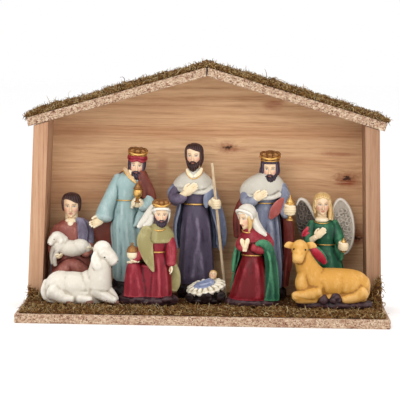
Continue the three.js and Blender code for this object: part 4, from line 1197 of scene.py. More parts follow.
def shepherd():
    f = Figure("shepherd", 20.4, 20.4)
    f.clay("foot", "earth_brown", [mound(18, 15.5, 5.5, -1, 0, 3)], carve=rocky(f.origin))
    folds = pleats(9, -175, -5, 9, 1.0, 4, 34, 11)
    f.clay("tunic", "russet", [
        loft([[3, 15.5, 13.5, -1, 0], [10, 16.6, 14.5, -0.6, 0], [20, 16.4, 14, -0.6, 0],
              [32, 15.5, 12, -1, 0], [46, 14.6, 10.6, -1.8, 0], [53, 15, 10, -2.2, 0],
              [57, 13.8, 9.4, -2.2, 0], [60, 11, 8.2, -1.8, 0], [62.6, 7.6, 6.8, -1.2, 0],
              [64, 5.4, 5.4, -0.8, 0]],
             folds + pleats(5, -150, -60, 12, 0.6, 46, 60, 12)),
        tube([[-11.5, 0, 55.6, 5.4], [-14.8, -3, 47, 5.6], [-15, -7, 38, 5], [-11.5, -11.6, 34, 4]]),
        tube([[12.4, -4, 47, 5], [13.4, -8, 40, 5], [11.5, -11.5, 36, 4]]),
        tube([[-12, -8, 16, 6], [-5, -11.5, 22, 7], [-1, -11.5, 26, 6], [4, -11, 24, 7],
              [11, -8, 18, 6.4]]),
    ])
    f.clay("cloak", "slate_violet", [
        cape([[5, 18.6, 15.4, -0.6, 0, -8, 186], [25, 17.8, 13.8, -0.6, 0, -6, 182],
              [44, 16.6, 12.6, -1, 0, -24, 164], [55, 15.4, 11.2, -1.2, 0, -40, 150],
              [60.5, 12.4, 9.6, -1.2, 0, -52, 140], [65, 7.6, 7.4, -0.8, 0.3, -58, 130]], 1.6,
             pleats(8, -10, 190, 8, 0.8, 5, 50, 13)),
        tube([[4.4, -6, 64.4, 2.2, 1.6], [7.6, -7.4, 61.4, 3.8, 2], [9.4, -9, 55, 4.6, 2.2],
              [9.6, -11, 49, 4.2, 2], [9.2, -12, 45, 3.4, 1.6]]),
        tube([[7, -1, 62, 4], [11.4, -2.4, 57, 5.4], [13.4, -4.4, 50, 5.4], [13.8, -6.4, 45, 4.8]]),
    ])
    head = Head(-1.0, -1.2, 75.3, 10.3, nod=3)
    f.clay("neck", "skin_hands", [
        f.neck(head, (-1, -0.6, 57), 0.5), ball(-1, -3.8, 62.4, 5.2, 4, 3.2),
        ball(-1.2, -7.2, 60.4, 2.6, 1.8, 2.6),
    ], voxel=0.35)
    f.face(head)

    def fringe(x, z):
        sweep = 0.46 + 0.14 * np.cos(3.2 * (x + 0.25)) - 0.12 * np.abs(x + 0.45)
        return np.clip(smooth_step(z, sweep - 0.04, sweep + 0.04) + smooth_step(np.abs(x), 0.54, 0.62), 0,
                       1)
    f.hair(head, "hair_dark", fringe, 0.13, 22, low=-0.42)
    f.clay("lamb", "wool", [
        ball(-1, -12.5, 40.6, 13, 6.6, 6.9, (0, 8, 0)), ball(7.4, -12.5, 42, 8, 6, 6.6),
        ball(-8, -13, 43, 7.2, 6, 6.6), ball(13, -11.6, 41, 4, 4.4, 4.4),
        tube([[-7, -13, 46, 5.6], [-11, -14, 50, 4.8], [-12.8, -14.6, 50.6, 4.4]]),
        tube([[-12.4, -14.8, 50.8, 4.2, 4], [-15.4, -15.8, 47.6, 3.5, 3.2], [-17.4, -16.4, 44.6, 2.4]]),
        tube([[-9.4, -17.4, 51, 1.4, 0.8], [-8, -18.4, 47.4, 2, 0.9], [-8.6, -18.4, 44, 1, 0.7]]),
    ], voxel=0.38, grain=0.16)
    f.clay("lamb_legs", "wing_light", [
        tube([[-14, -14, 42, 2.4], [-15.8, -14.4, 35, 2.1], [-15, -15, 28, 1.8]]),
        tube([[-11.4, -15, 38, 2.2], [-13.4, -16, 32, 1.9], [-12.8, -16, 26.4, 1.6]]),
    ], voxel=0.3, smooth=3, grain=0.1)
    f.clay("lamb_face", "black_brown", [
        ball(-13.7, -18.6, 48.6, 0.6, 0.4, 0.6), ball(-18.1, -18, 45, 0.6, 0.6, 0.5),
    ], voxel=0.16, smooth=2)
    f.clay("hands", "skin_hands",
           hand((-13.6, -14.4, 33.4), (0.85, -0.42, -0.02), (0.1, 0.5, 0.85), 9.6, 0.42, 0.03)
           + hand((16.4, -10.5, 40), (-0.62, -0.66, -0.12), (0, 0.5, 0.85), 10, 0.4, 0.03, mirror=-1),
           voxel=0.26, smooth=3)


def king_light_blue():
    f = Figure("king_light_blue", 29.3, 18.6)
    f.clay("foot", "black_brown", [mound(16.5, 16, 9, 0.5, 0, 5),
                                   loft([[5, 13, 12.6, 1.6, 0], [14.4, 11.4, 11.6, 2.2, 0]])],
           carve=rocky(f.origin))
    f.clay("robe", "sky_robe", [
        loft([[13, 11, 11.8, 2.6, 0], [22, 11.6, 12.2, 2.8, 0], [38, 11.8, 12, 2.6, 0],
              [58, 12.2, 11.2, 1.2, 0], [74, 11.2, 10.2, 1, 0], [81, 10.2, 9.4, 1.2, 0],
              [88, 12, 9.8, 2, 0], [95, 13.8, 9.8, 3, 0], [100.5, 12.2, 8.8, 4.4, 0],
              [104, 8.6, 7.2, 6.4, 0], [107, 5.2, 5.2, 8.6, -0.5]],
             pleats(8, -185, 5, 10, 1.3, 14, 80, 21, 14) + pleats(4, -160, -60, 10, 0.7, 84, 102, 22)),
        tube([[-4, 0, 99, 5.8], [-8, -2, 91, 6], [-12, -4.5, 82, 6.2], [-15.4, -6.4, 73.5, 6.8],
              [-17, -7.4, 67, 7.6, 7]]),
        tube([[20.4, -5, 84, 5], [19.6, -7.6, 79, 5.4], [16.8, -11, 77, 4.6], [14.4, -12.6, 77.6, 3.6]]),
        tube([[19, -5, 80, 5], [17, -7, 73, 5.2, 4], [12.4, -8.5, 66, 3.2, 2.4], [9, -9.6, 60, 1.6]]),
    ])
    f.clay("cloak", "rust_cloak", [
        cape([[22, 14.4, 14.2, 1.4, 0, 22, 178], [44, 15, 14, 0, 0, 20, 178],
              [62, 16, 13.6, -1, 0, 12, 176], [80, 16.4, 12.6, 1.2, 0, -20, 176],
              [94, 16.8, 11.6, 3.4, 0, -50, 170], [101, 14.6, 10.4, 5, 0, -62, 165],
              [106, 9, 8.2, 8.2, 0, -66, 160]], 1.7, pleats(9, 0, 195, 8, 0.9, 22, 94, 23)),
        tube([[11.6, -5, 106, 2.2, 2], [14.6, -5.4, 101, 4.4, 3.4], [17.6, -5.6, 94, 5.4, 4.4],
              [21, -5.6, 87, 5, 4.4], [23.4, -4.6, 80, 3.6, 4], [23.4, -2.6, 70, 2.6, 3.6]]),
        tube([[13.6, -8, 97, 2.6, 1.8], [15.6, -8.8, 90, 3.2, 2], [16.6, -9, 84, 2.2, 1.6]]),
        tube([[-11, -2, 66, 4, 3], [-16, -1.5, 60, 7.6, 2.6], [-17.4, -1, 52, 8.8, 2.6],
              [-14.5, 0, 44, 6.8, 2.4], [-11.5, 1, 38, 3.8, 2]]),
    ])
    head = Head(9.9, -2.2, 110.4, 9.4, turn=2, nod=3, tilt=4)
    f.clay("neck", "skin_hands", [
        f.neck(head, (7, -0.6, 98), 0.5), ball(4.6, -5, 102.6, 4, 3.4, 4.4),
        ball(6.8, -6.6, 99.6, 3, 2.6, 3.4),
    ], voxel=0.35)
    f.face(head)
    f.hair(head, "hair_black", hairline(0.5, 0.5), 0.13, 24, low=-0.6)
    f.beard(head, "hair_black", 0.5, 0.56)
    f.clay("turban", "crimson", [
        head.form(ball(0, 0.06, 0.62, 0.76, 0.8, 0.42)),
        tube(head.rows([[-0.76, 0, 0.62, 0.17], [-0.45, -0.6, 0.46, 0.17], [0, -0.74, 0.58, 0.15],
                        [0.45, -0.6, 0.46, 0.17], [0.76, 0, 0.62, 0.17]])),
        tube(head.rows([[-0.76, 0, 0.78, 0.15], [-0.45, -0.6, 0.72, 0.15], [0, -0.72, 0.8, 0.15],
                        [0.45, -0.6, 0.72, 0.15], [0.76, 0, 0.78, 0.15]])),
    ], voxel=0.26)
    f.crown(head, 0.78, 0.9, 1.6)
    f.clay("trims", gold, [
        ring_of(1.2, 0, 81.2, 10.7, 9.8, 0.5),
        tube([[-1.6, -5.4, 106, 0.6], [1.2, -8.2, 103.4, 0.6], [5, -9.8, 99.4, 0.6], [9.8, -10.6, 96, 0.6]],
             sides=12),
    ], voxel=0.22, smooth=2)
    f.clay("collar", "neck_tan", [
        tube([[0.2, -3, 107.6, 1.4, 1.2], [0.6, -5.4, 106.6, 1.9, 1.1], [3.2, -8, 102.6, 1.7, 1],
              [6.6, -9.6, 98.8, 1.2, 0.9], [9.2, -10.2, 96.6, 0.7]]),
    ], voxel=0.26, smooth=3)
    f.clay("collar_edge", gold, [
        tube([[2.4, -4.4, 108, 0.45], [3.2, -7, 105.4, 0.45], [6, -9.3, 101.4, 0.45],
              [9.6, -10.4, 97.4, 0.45]], sides=12),
    ], voxel=0.2, smooth=2)
    cream, gilded = jar(11.6, -15, 80.5, 3.9, 17.5)
    f.clay("jar", gold, cream, voxel=0.22, smooth=2)
    f.clay("jar_gilding", old_gold, gilded, voxel=0.2, smooth=1)
    f.clay("hands", "skin_hands",
           hand((7, -12.6, 77), (0.1, -0.42, 0.88), (0.9, 0.2, -0.1), 9.4, 0.24, 0.0, mirror=-1)
           + hand((15.8, -12.6, 76.6), (-0.1, -0.42, 0.88), (-0.9, 0.2, -0.1), 9.4, 0.24, 0.0)
           + [ball(11.4, -13.4, 79, 4, 2.2, 3.4)]
           + hand((-18.2, -9, 65.4), (-0.8, -0.42, -0.5), (-0.25, -0.95, 0.1), 15, 0.16, 0.04)
           + [ball(-20.6, -9, 63.4, 3.2, 2.2, 3.2)], voxel=0.28, smooth=4)


def father():
    f = Figure("father", 27.8, 18.3)
    f.clay("foot", "black_brown", [mound(17, 16, 12, -0.5, 0, 7)], carve=rocky(f.origin))
    f.clay("robe", "aubergine", [
        loft([[10, 14.6, 13.2, -0.6, 0], [20, 15, 13.4, -1, 0], [40, 14, 12.6, -1.4, 0],
              [60, 12.6, 11.4, -1.8, 0], [74, 10.6, 10, -2.6, 0], [79, 9.6, 9.2, -2.8, 0],
              [86, 12, 9.8, -3.4, 0], [94, 14.6, 9.6, -4, 0], [100, 12.6, 8.8, -4.2, 0],
              [104.4, 7, 6.6, -4.6, 0]],
             [[-104, 11, 1.5, 16, 58, 26], [-132, 11, 1.0, 14, 72, 12], [-66, 11, 1.4, 12, 70, -20],
              [-160, 11, 1, 12, 64, 4], [-30, 10, 1.1, 12, 68, -4]]
             + pleats(5, 15, 165, 11, 1, 12, 70, 33)),
        tube([[-14.6, 0, 94.6, 5.2], [-19.6, -3, 88.4, 5.2], [-20, -7.5, 83.4, 5.1],
              [-15.6, -11, 83.4, 4.6], [-12.2, -12, 85.8, 3.8]]),
        tube([[-20.4, -4, 83.6, 4.8, 4], [-19.4, -6, 80.6, 4, 3.4], [-17, -8, 79, 2.4, 2.2]]),
    ])
    f.clay("cloak", "harbour_blue", [
        cape([[40, 19.2, 12, 1.4, 0.5, -28, 192], [50, 20.4, 12.6, 0.4, 0.5, -30, 196],
              [62, 19.4, 12.4, -1, 0.5, -34, 202], [76, 16.2, 12, -1.6, 0.5, -38, 208],
              [88, 15.6, 11.2, -3, 0, -40, 205], [97, 14, 9.8, -4, 0, -20, 200],
              [103, 9.6, 7.8, -4.4, 0, -10, 190]], 1.7, pleats(9, -20, 195, 8, 1.1, 40, 92, 35)),
        tube([[-18.4, -1, 93, 4, 4.6], [-22.8, -2.2, 88.4, 3.6, 4.4], [-23.8, -2.6, 84, 2.4, 3.4]]),
        tube([[8.4, 0, 94.6, 5], [11.2, -3.5, 87, 5], [13.4, -8, 81, 4.6]]),
        tube([[10.4, -7.5, 91, 3.2, 1.6], [8.2, -9.8, 85.5, 4, 1.7], [6.8, -10.4, 80, 2.8, 1.5],
              [6.8, -10, 76.4, 1.3, 1]]),
        tube([[14.5, -5.5, 78, 4.6, 4], [18, -3.5, 66, 4.6, 3], [19.6, -2, 54, 4.6, 2.6],
              [19.4, -1, 44.5, 4.2, 2.4]]),
    ])
    f.clay("shawl", "shawl_grey", [
        loft([[91, 15.4, 11.2, -4, -0.4], [93.6, 17.6, 11.6, -4.2, -0.4], [97, 16.6, 11, -4.4, 0],
              [101, 13.4, 9.6, -4.4, 0], [105, 8.6, 7.8, -4, 0], [108.4, 5.4, 6, -3.6, 0]],
             pleats(7, -170, -10, 12, 0.5, 90, 102, 37)),
        tube([[-18, -3, 93.4, 3.8, 3], [-12.6, -8.4, 90.4, 2.6, 1.8], [-5, -10.4, 89.4, 2, 1.6],
              [3, -10.2, 89, 2, 1.6], [9.4, -7.4, 91.6, 2.8, 2], [12, -4, 93.6, 3, 2.6]]),
    ], voxel=0.42)
    head = Head(-4.3, -2.4, 119.1, 9.7, turn=-8, nod=2)
    f.clay("neck", "skin_hands", [f.neck(head, (-4.2, -0.8, 102), 0.5)], voxel=0.35)
    f.face(head)

    def parted(x, z):
        arch = 0.64 - 0.34 * np.abs(x + 0.28)
        return np.clip(smooth_step(z, arch - 0.04, arch + 0.04) + smooth_step(np.abs(x), 0.5, 0.58), 0, 1)
    f.hair(head, "hair_dark", parted, 0.13, 26, low=-0.7, part=-0.28)
    f.clay("locks", "hair_dark", [
        tube(head.rows([[0.64, 0.05, 0.2, 0.13], [0.68, 0.1, -0.25, 0.15], [0.62, 0.15, -0.6, 0.13],
                        [0.52, 0.2, -0.85, 0.08]])),
        tube(head.rows([[0.5, 0.6, 0.1, 0.25], [0.5, 0.62, -0.4, 0.26], [0.4, 0.6, -0.95, 0.16]])),
        tube(head.rows([[0, 0.72, 0.1, 0.3], [0, 0.74, -0.4, 0.32], [0, 0.7, -1.0, 0.2]])),
        tube(head.rows([[-0.5, 0.6, 0.1, 0.25], [-0.5, 0.62, -0.4, 0.26], [-0.4, 0.6, -0.95, 0.16]])),
        tube(head.rows([[-0.62, 0.15, 0.1, 0.12], [-0.64, 0.2, -0.3, 0.13], [-0.54, 0.25, -0.7, 0.1]])),
    ], voxel=0.3)
    f.beard(head, "hair_dark", 0.42, 0.52)
    f.clay("collar", "cream_cup", [
        tube([[-10, -5.4, 107.4, 1.3, 0.9], [-8, -8, 104, 1.8, 0.9], [-5.4, -9.4, 101.8, 1.3, 0.8]]),
        tube([[2.2, -5, 108.4, 1.3, 0.9], [0, -7.8, 104.6, 1.8, 0.9], [-3.4, -9.4, 102, 1.3, 0.8]]),
    ], voxel=0.26, smooth=3)
    f.clay("trims", gold, [
        ring_of(-2.7, 0, 78.6, 10.3, 10, 0.8, flat=0.8),
        tube([[-11.2, -4.6, 107.6, 0.5], [-10.2, -7.2, 104.2, 0.5], [-7.4, -9.6, 100.9, 0.5],
              [-4.9, -10.3, 99.9, 0.5]],
             sides=12),
        tube([[3.6, -4, 108.8, 0.5], [2.6, -6.8, 105, 0.5], [-0.6, -9.4, 101.2, 0.5],
              [-4.3, -10.3, 99.9, 0.5]], sides=12),
    ], voxel=0.24, smooth=2)
    f.clay("hands", "skin_hands",
           [tube([[-14, -12, 86, 2.8], [-10.8, -13.2, 88.2, 2.8]])]
           + hand((-11.4, -13.2, 87.8), (0.8, -0.06, 0.6), (0.1, 1, 0.1), 15, 0.05, 0.01), voxel=0.28,
           smooth=4)
    # The fist round the staff, with the hole for it left open
    grip = f.origin + STAFF_THROUGH
    axis = xyz(-math.sin(STAFF_LEAN), 0, math.cos(STAFF_LEAN))
    fist = f.clay("fist", "skin_hands", clasp(*STAFF_THROUGH, 2.6, 3.8, 1.3, 150, 405, axis) + [
        tube([[10.6, -10.2, 80.5, 3.2], [12, -11.4, 80.2, 3.3], [13.2, -12.2, 79.9, 3]]),
        ball(16.8, -12.6, 79.6, 2.4, 2.8, 4),
    ], voxel=0.26, smooth=5)
    clear_staff(fist, grip, axis, STAFF_RADIUS + STAFF_CLEARANCE)
    low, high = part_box("father_staff")
    staff = linked("staff_wood", mesh_of("staff_wood", [staff_form(low, high, grip, axis)]))
    staff.data.shade_smooth()
    staff.data.materials.append(straw_wood)
    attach(staff, "father_staff")
    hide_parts("father_staff")


def clear_staff(piece, through, axis, radius):
    """Pushes points out of the staff's way, so that it slides through the hand."""
    mesh = piece.data
    points = positions(mesh)
    from_axis = points - through
    along = (from_axis @ axis)[:, None] * axis
    away = from_axis - along
    distance = np.linalg.norm(away, axis=1)[:, None]
    pushed = through + along + away / (distance + 1e-9) * np.maximum(distance, radius)
    set_positions(mesh, pushed)


def staff_form(low, high, through, axis):
    """A slightly uneven rod between the staff's lowest and highest points."""
    rows = []
    for z in np.linspace(low.z / MM + 0.1, high.z / MM - 0.1, 60):
        at = through + axis * ((z - through[2]) / axis[2])
        rows.append([*at, STAFF_RADIUS - 0.05 + 0.05 * math.sin(z * 0.37)])
    return tube(rows, sides=20, blunt=0.25)


def king_dark_blue():
    f = Figure("king_dark_blue", 25.7, 18.6)
    f.clay("foot", "black_brown", [mound(17.5, 16, 9, 0, 0, 9)], carve=rocky(f.origin))
    f.clay("robe", "robe_blue", [
        loft([[8, 14, 13, 0, 0], [25, 14.4, 13, 0, 0], [45, 13, 12, -0.4, 0], [62, 12, 11, -0.8, 0],
              [75, 10.4, 9.8, -1, 0], [80, 9.6, 9.2, -1.2, 0], [87, 12, 9.8, -1.4, 0],
              [94, 13.4, 9.4, -1.2, 0], [100, 10, 8, 0, 0], [104, 6, 6, 1.5, 0]],
             pleats(8, -185, 5, 10, 1.3, 9, 78, 41, 12) + pleats(5, 20, 160, 12, 0.8, 9, 70, 42)),
        tube([[-12, 0, 94, 5.2], [-16.8, -3, 87, 5.4], [-16.4, -8, 81.6, 5], [-12.6, -11.4, 81.8, 4.4],
              [-10, -12.4, 83.6, 3.6]]),
        tube([[11.5, 0, 94, 5.2], [14.6, -3, 86, 5.4], [15.6, -7.5, 77.5, 5.6], [16.4, -11, 73, 5],
              [17.2, -13, 71.6, 4]]),
    ])
    f.clay("cloak", "wine", [
        cape([[10, 18.4, 15.6, 0.6, 0, -34, 192], [30, 20.6, 15.4, 0.4, 0, -34, 196],
              [50, 22.6, 14.8, -0.6, 0, -28, 200], [64, 23, 13.8, -1.6, 0, -20, 202],
              [78, 20, 12.6, -2, 0, 0, 198], [92, 15.2, 10.4, -1.4, 0, 10, 186]],
             2.2, pleats(12, -35, 200, 8, 1.1, 10, 84, 43)),
        tube([[-19, -1.5, 84, 3.2, 3], [-23.4, -2, 74, 3.6, 3], [-25, -2.4, 64, 3.2, 2.6],
              [-24.4, -2.4, 52, 2.8, 2.4]]),
        tube([[17.4, -5, 70, 4, 3.6], [18.8, -5.4, 60, 4.4, 3.4], [19.4, -5, 44, 4.4, 3.2],
              [17.8, -4.4, 24, 3.8, 3]]),
    ])
    f.clay("lining", "wine_lining", [
        tube([[13.4, -9.8, 84.6, 1.6, 1], [10.4, -11.8, 80, 4, 1.2], [6.8, -12.2, 74, 4.4, 1.3],
              [3.4, -11.8, 68.6, 2, 1]]),
    ], voxel=0.34)
    f.clay("shawl", "shawl_grey", [
        loft([[86.6, 17.2, 10.6, -3.4, -0.2], [89, 19, 11.2, -3.8, -0.2], [94, 18.4, 10.8, -3.2, 0],
              [98.6, 15.8, 9.6, -2.2, 0], [102.4, 11.6, 8.2, -1, 0], [105.4, 6.8, 6.4, 0.8, 0]],
             pleats(6, -170, -10, 13, 0.5, 86, 99, 45)),
        tube([[-20, -3, 88.6, 3, 2.8], [-14, -8.6, 86, 2.4, 1.8], [-5, -10.8, 85, 2, 1.6],
              [4, -10.4, 85.4, 2, 1.6], [10.6, -7.4, 88, 2.6, 2]]),
    ], voxel=0.42)
    head = Head(2.4, -2.2, 109, 9.6, turn=-2, nod=2)
    f.clay("neck", "skin_hands", [f.neck(head, (1.6, -0.8, 98))], voxel=0.35)
    f.face(head)
    f.hair(head, "hair_black", hairline(0.45, 0.5), 0.15, 24, low=-0.72)
    f.clay("locks", "hair_black", [
        tube(head.rows([[-0.74, 0.02, 0.15, 0.13], [-0.78, 0.05, -0.3, 0.16], [-0.66, 0.05, -0.75, 0.1]])),
        tube(head.rows([[0.74, 0.02, 0.15, 0.12], [0.76, 0.05, -0.25, 0.13], [0.66, 0.08, -0.6, 0.08]])),
        tube(head.rows([[0.3, 0.7, 0.1, 0.4], [0.28, 0.7, -0.6, 0.34], [0.2, 0.66, -0.95, 0.2]])),
        tube(head.rows([[-0.3, 0.7, 0.1, 0.4], [-0.28, 0.7, -0.6, 0.34], [-0.2, 0.66, -0.95, 0.2]])),
    ], voxel=0.3)
    f.beard(head, "hair_black", 0.66, 0.54)
    f.crown(head, 0.8, 0.7, 1.62)
    f.clay("trims", gold, [ring_of(-1.2, 0, 80.4, 10, 9.6, 0.6)], voxel=0.24, smooth=2)
    cream, gilded = jar(19.4, -14.6, 66.8, 4.2, 21.5)
    f.clay("jar", "cream_cup", cream, voxel=0.24, smooth=2)
    f.clay("jar_gilding", gold, gilded, voxel=0.22, smooth=1)
    f.clay("hands", "skin_hands",
           [tube([[-12.4, -12, 82.6, 2.8], [-9.6, -13, 84.4, 2.6]])]
           + hand((-10.2, -13, 84), (0.86, -0.06, 0.52), (0.1, 1, 0.05), 14, 0.05, 0.03)
           + clasp(19.4, -14.6, 75.6, 3.5, 3.8, 1.4, 150, 385)
           + [tube([[16.4, -11, 72.6, 3.2], [16.6, -12, 75, 3]])], voxel=0.28, smooth=5)


def within(outline, x, z):
    """Whether a point lies inside an outline of [x, z] points."""
    inside = False
    for (x0, z0), (x1, z1) in zip(outline, outline[1:] + outline[:1]):
        if (z0 > z) != (z1 > z) and x < x0 + (z - z0) * (x1 - x0) / (z1 - z0):
            inside = not inside
    return inside


def wing(f, name, outline, coat, rim, border, spread, y=7.6, thickness=2.6):
    """A folded wing: a plate covered with small curled feathers, inside a raised border."""
    forms = [slab(outline, y, thickness)]
    low = np.min(outline, axis=0)
    high = np.max(outline, axis=0)
    middle = np.mean(outline, axis=0)
    for row, level in enumerate(np.arange(low[1] + 2.4, high[1] - 2, 3.9)):
        for place in np.arange(low[0] + 1.6 + 2.2 * (row % 2), high[0] - 1, 4.4):
            x = place + 0.8 * math.sin(3.1 * level + place)
            z = level + 0.8 * math.sin(2.3 * place + level)
            # Only where a feather stays clear of the border
            outer = middle + (xyz(x, z) - middle) * spread
            if not within(outline, *outer):
                continue
            first = 150 + 60 * math.sin(2.1 * x + 1.3 * z)
            turns = np.radians(np.linspace(first, first + 250, 9))
            forms.append(tube([[x + (2.3 - 0.14 * k) * math.cos(a), y - thickness / 2 - 0.1,
                                z + (2.3 - 0.14 * k) * math.sin(a), 0.5] for k, a in enumerate(turns)],
                              sides=10))
    f.clay(f"wing_{name}", coat, forms, voxel=0.28, smooth=2)
    f.clay(f"wing_rim_{name}", rim, [
        tube([[x, y - 0.6, z, r, 1.9] for x, z, r in border], sides=20),
    ], voxel=0.3, smooth=3)


def angel():
    f = Figure("angel", 27.0, 15.3)
    f.clay("foot", "earth_brown", [mound(17, 15, 5.5, 0, 0, 15)], carve=rocky(f.origin))
    f.clay("dress", "forest", [
        loft([[4, 15.6, 13.4, 0, 0], [18, 15, 12.6, 0.2, 0], [32, 12.6, 11, 0.2, 0],
              [42, 9.4, 9, -0.4, 0], [46, 8.4, 8.4, -1, 0], [53, 10.6, 9, -1.8, 0],
              [60, 11.6, 8.8, -2.6, 0], [63.5, 10.4, 8, -3, 0], [66, 8, 6.6, -3.4, 0.4],
              [67.4, 6, 5.4, -3.6, 0.8]],
             pleats(9, -180, 180, 11, 1.1, 5, 44, 51) + pleats(5, -150, -30, 10, 0.6, 50, 66, 52)),
        tube([[-11, 0, 63, 4.6], [-14.4, -2.6, 56.4, 4.6], [-14.8, -6, 51, 4.2], [-13.4, -8.6, 49.4, 3.6]]),
        tube([[5, 0, 63.6, 4.6], [8.4, -2.6, 57, 4.6], [10.2, -6, 51, 4.5], [12, -9, 47.6, 3.8]]),
        tube([[10.4, -6.6, 48, 3.6, 2.6], [10.4, -6.4, 41, 4.2, 2.4], [11, -5.4, 34, 3, 1.8]]),
        tube([[-14, -9.8, 45.6, 2.6, 0.9], [-10.8, -10.9, 41.4, 5, 1.1], [-5.6, -11.3, 36, 5.2, 1.2],
              [-0.4, -10.9, 30, 3.2, 1]]),
    ])
    f.clay("lining", "lining_red", [
        tube([[-13.4, -10.2, 44.4, 1.6, 1], [-10.2, -11.6, 41, 3.4, 1.3], [-5.4, -12.2, 36, 3.6, 1.4],
              [-1.6, -11.8, 31.6, 2.2, 1.1]]),
        tube([[-20.4, -6.4, 53.4, 1.2, 0.9], [-19, -7.2, 56, 1.9, 1.1], [-17.2, -7.6, 58.6, 1.8, 1.1],
              [-16.2, -7.6, 61, 0.9, 0.8]]),
        tube([[-18.6, -7.6, 53.4, 1, 0.9], [-17, -8, 55.4, 1.4, 1], [-15.4, -8.2, 56, 0.9, 0.8]]),
    ], voxel=0.32)
    head = Head(-4.3, -1.8, 79.8, 9.2, turn=4, nod=3)
    f.clay("neck", "skin_hands", [f.neck(head, (-4, -0.6, 64)), ball(-4.4, -3, 66.8, 6, 5.2, 2.8)],
           voxel=0.3)
    f.face(head, "fair")

    def parted(x, z):
        arch = 0.66 - 0.5 * np.abs(x + 0.02) ** 1.2
        return np.clip(smooth_step(z, arch - 0.04, arch + 0.05) + smooth_step(np.abs(x), 0.53, 0.6), 0, 1)
    f.hair(head, "hair_gold", parted, 0.13, 22, low=-0.6, wave=0.012, part=0.0)
    f.clay("locks", "hair_gold", [
        tube(head.rows([[0.7, -0.12, 0.3, 0.12], [0.74, -0.1, -0.3, 0.16], [0.72, -0.3, -0.85, 0.18],
                        [0.66, -0.62, -1.3, 0.12]])),
        tube(head.rows([[0.72, 0.15, 0.2, 0.15], [0.82, 0.1, -0.4, 0.18], [0.86, -0.1, -1.0, 0.18],
                        [0.9, -0.3, -1.4, 0.1]])),
        tube(head.rows([[-0.7, 0, 0.2, 0.13], [-0.73, 0.05, -0.3, 0.14], [-0.62, 0.1, -0.8, 0.12]])),
        tube(head.rows([[0.4, 0.65, 0.2, 0.36], [0.45, 0.7, -0.6, 0.36], [0.4, 0.72, -1.5, 0.2]])),
        tube(head.rows([[-0.4, 0.65, 0.2, 0.36], [-0.42, 0.7, -0.6, 0.36], [-0.35, 0.72, -1.5, 0.2]])),
        tube(head.rows([[0, 0.72, 0.2, 0.36], [0, 0.78, -0.7, 0.38], [0, 0.76, -1.7, 0.2]])),
    ], voxel=0.28, smooth=4)
    f.clay("trims", gold, [
        ring_of(-1, 0, 46.2, 9, 9, 0.5),
        ring_of(-4.2, -1.4, 65.8, 6.8, 7.2, 0.5, tilt=1.6, start=180, end=360),
    ], voxel=0.22, smooth=2)
    f.clay("hands", "skin_hands",
           [tube([[-13, -9.6, 50.4, 2.6], [-9.6, -12, 53.2, 2.3]])]
           + hand((-9.8, -12, 53), (0.76, -0.04, 0.65), (0.1, 1, 0.05), 12.6, 0.04, 0.02)
           + clasp(13.6, -13, 45.6, 3, 3, 1.3, 140, 380)
           + [tube([[12, -9.4, 46.6, 2.8], [12.4, -11, 46, 2.8]])], voxel=0.26, smooth=5)
    cream, gilded = jar(13.6, -13, 41, 3, 12)
    f.clay("jar", "cream_cup", cream, voxel=0.22, smooth=2)
    f.clay("jar_gilding", gold, gilded, voxel=0.2, smooth=1)
    wing(f, "right", [[3, 56], [4.4, 70], [8, 80.4], [12, 82.6], [17, 78.6], [21, 70], [22.8, 59],
                      [22, 47], [18.6, 39.6], [15, 36.4], [11, 41]], "wing_light", "rim_beige",
         [[4.6, 68, 1], [5.6, 76, 1.2], [8.4, 81.6, 1.4], [12, 83, 1.4], [16.8, 79.2, 1.4],
          [21, 70.6, 1.4], [22.8, 59, 1.3], [22, 47.4, 1.3], [18.8, 40, 1.3], [15.4, 36.8, 1]], 1.22)
    # Painted shade: the left wing takes the darkened wing coat
    wing(f, "left", [[-3, 54], [-8, 64], [-12.6, 75], [-18, 81.4], [-22.4, 82.6], [-25.4, 78.6],
                     [-26.2, 70], [-25, 60.6], [-20.6, 50], [-13, 41]], "wing_in_painted_shade", "rim_beige",
         [[-8, 64, 1.2], [-12, 72, 1.5], [-16, 79, 1.7], [-20.4, 82.6, 1.5], [-23.6, 82, 1.2],
          [-25.6, 78, 0.9]], 1.22)


shepherd()
king_light_blue()
father()
king_dark_blue()
angel()


def grooved(origin, lines, curl, size=2.4):
    """Carves creases along lines of [x, z] points on the side that faces the front, and woolly curls."""
    # Creases are wide and shallow, as in a cast from a worn mould
    widen, soften = 1.35, 0.62

    def carve(points, facing):
        local = points - origin
        out = curl * rough(local, size, 41)
        for line, width, depth in lines:
            path = spline(line, 40)
            away = np.full(len(points), 1e9)
            for a, b in zip(path[:-1], path[1:]):
                along = b - a
                share = np.clip(((local[:, [0, 2]] - a) @ along) / (along @ along + 1e-9), 0, 1)
                nearest = a + share[:, None] * along
                away = np.minimum(away, np.linalg.norm(local[:, [0, 2]] - nearest, axis=1))
            dip = soften * depth * np.exp(-(away / (widen * width)) ** 2)
            out = out - dip * smooth_step(-facing[:, 1], 0.1, 0.5)
        points = points + facing * out[:, None]
        points[:, 2] = np.maximum(points[:, 2], origin[2])
        return points
    return carve


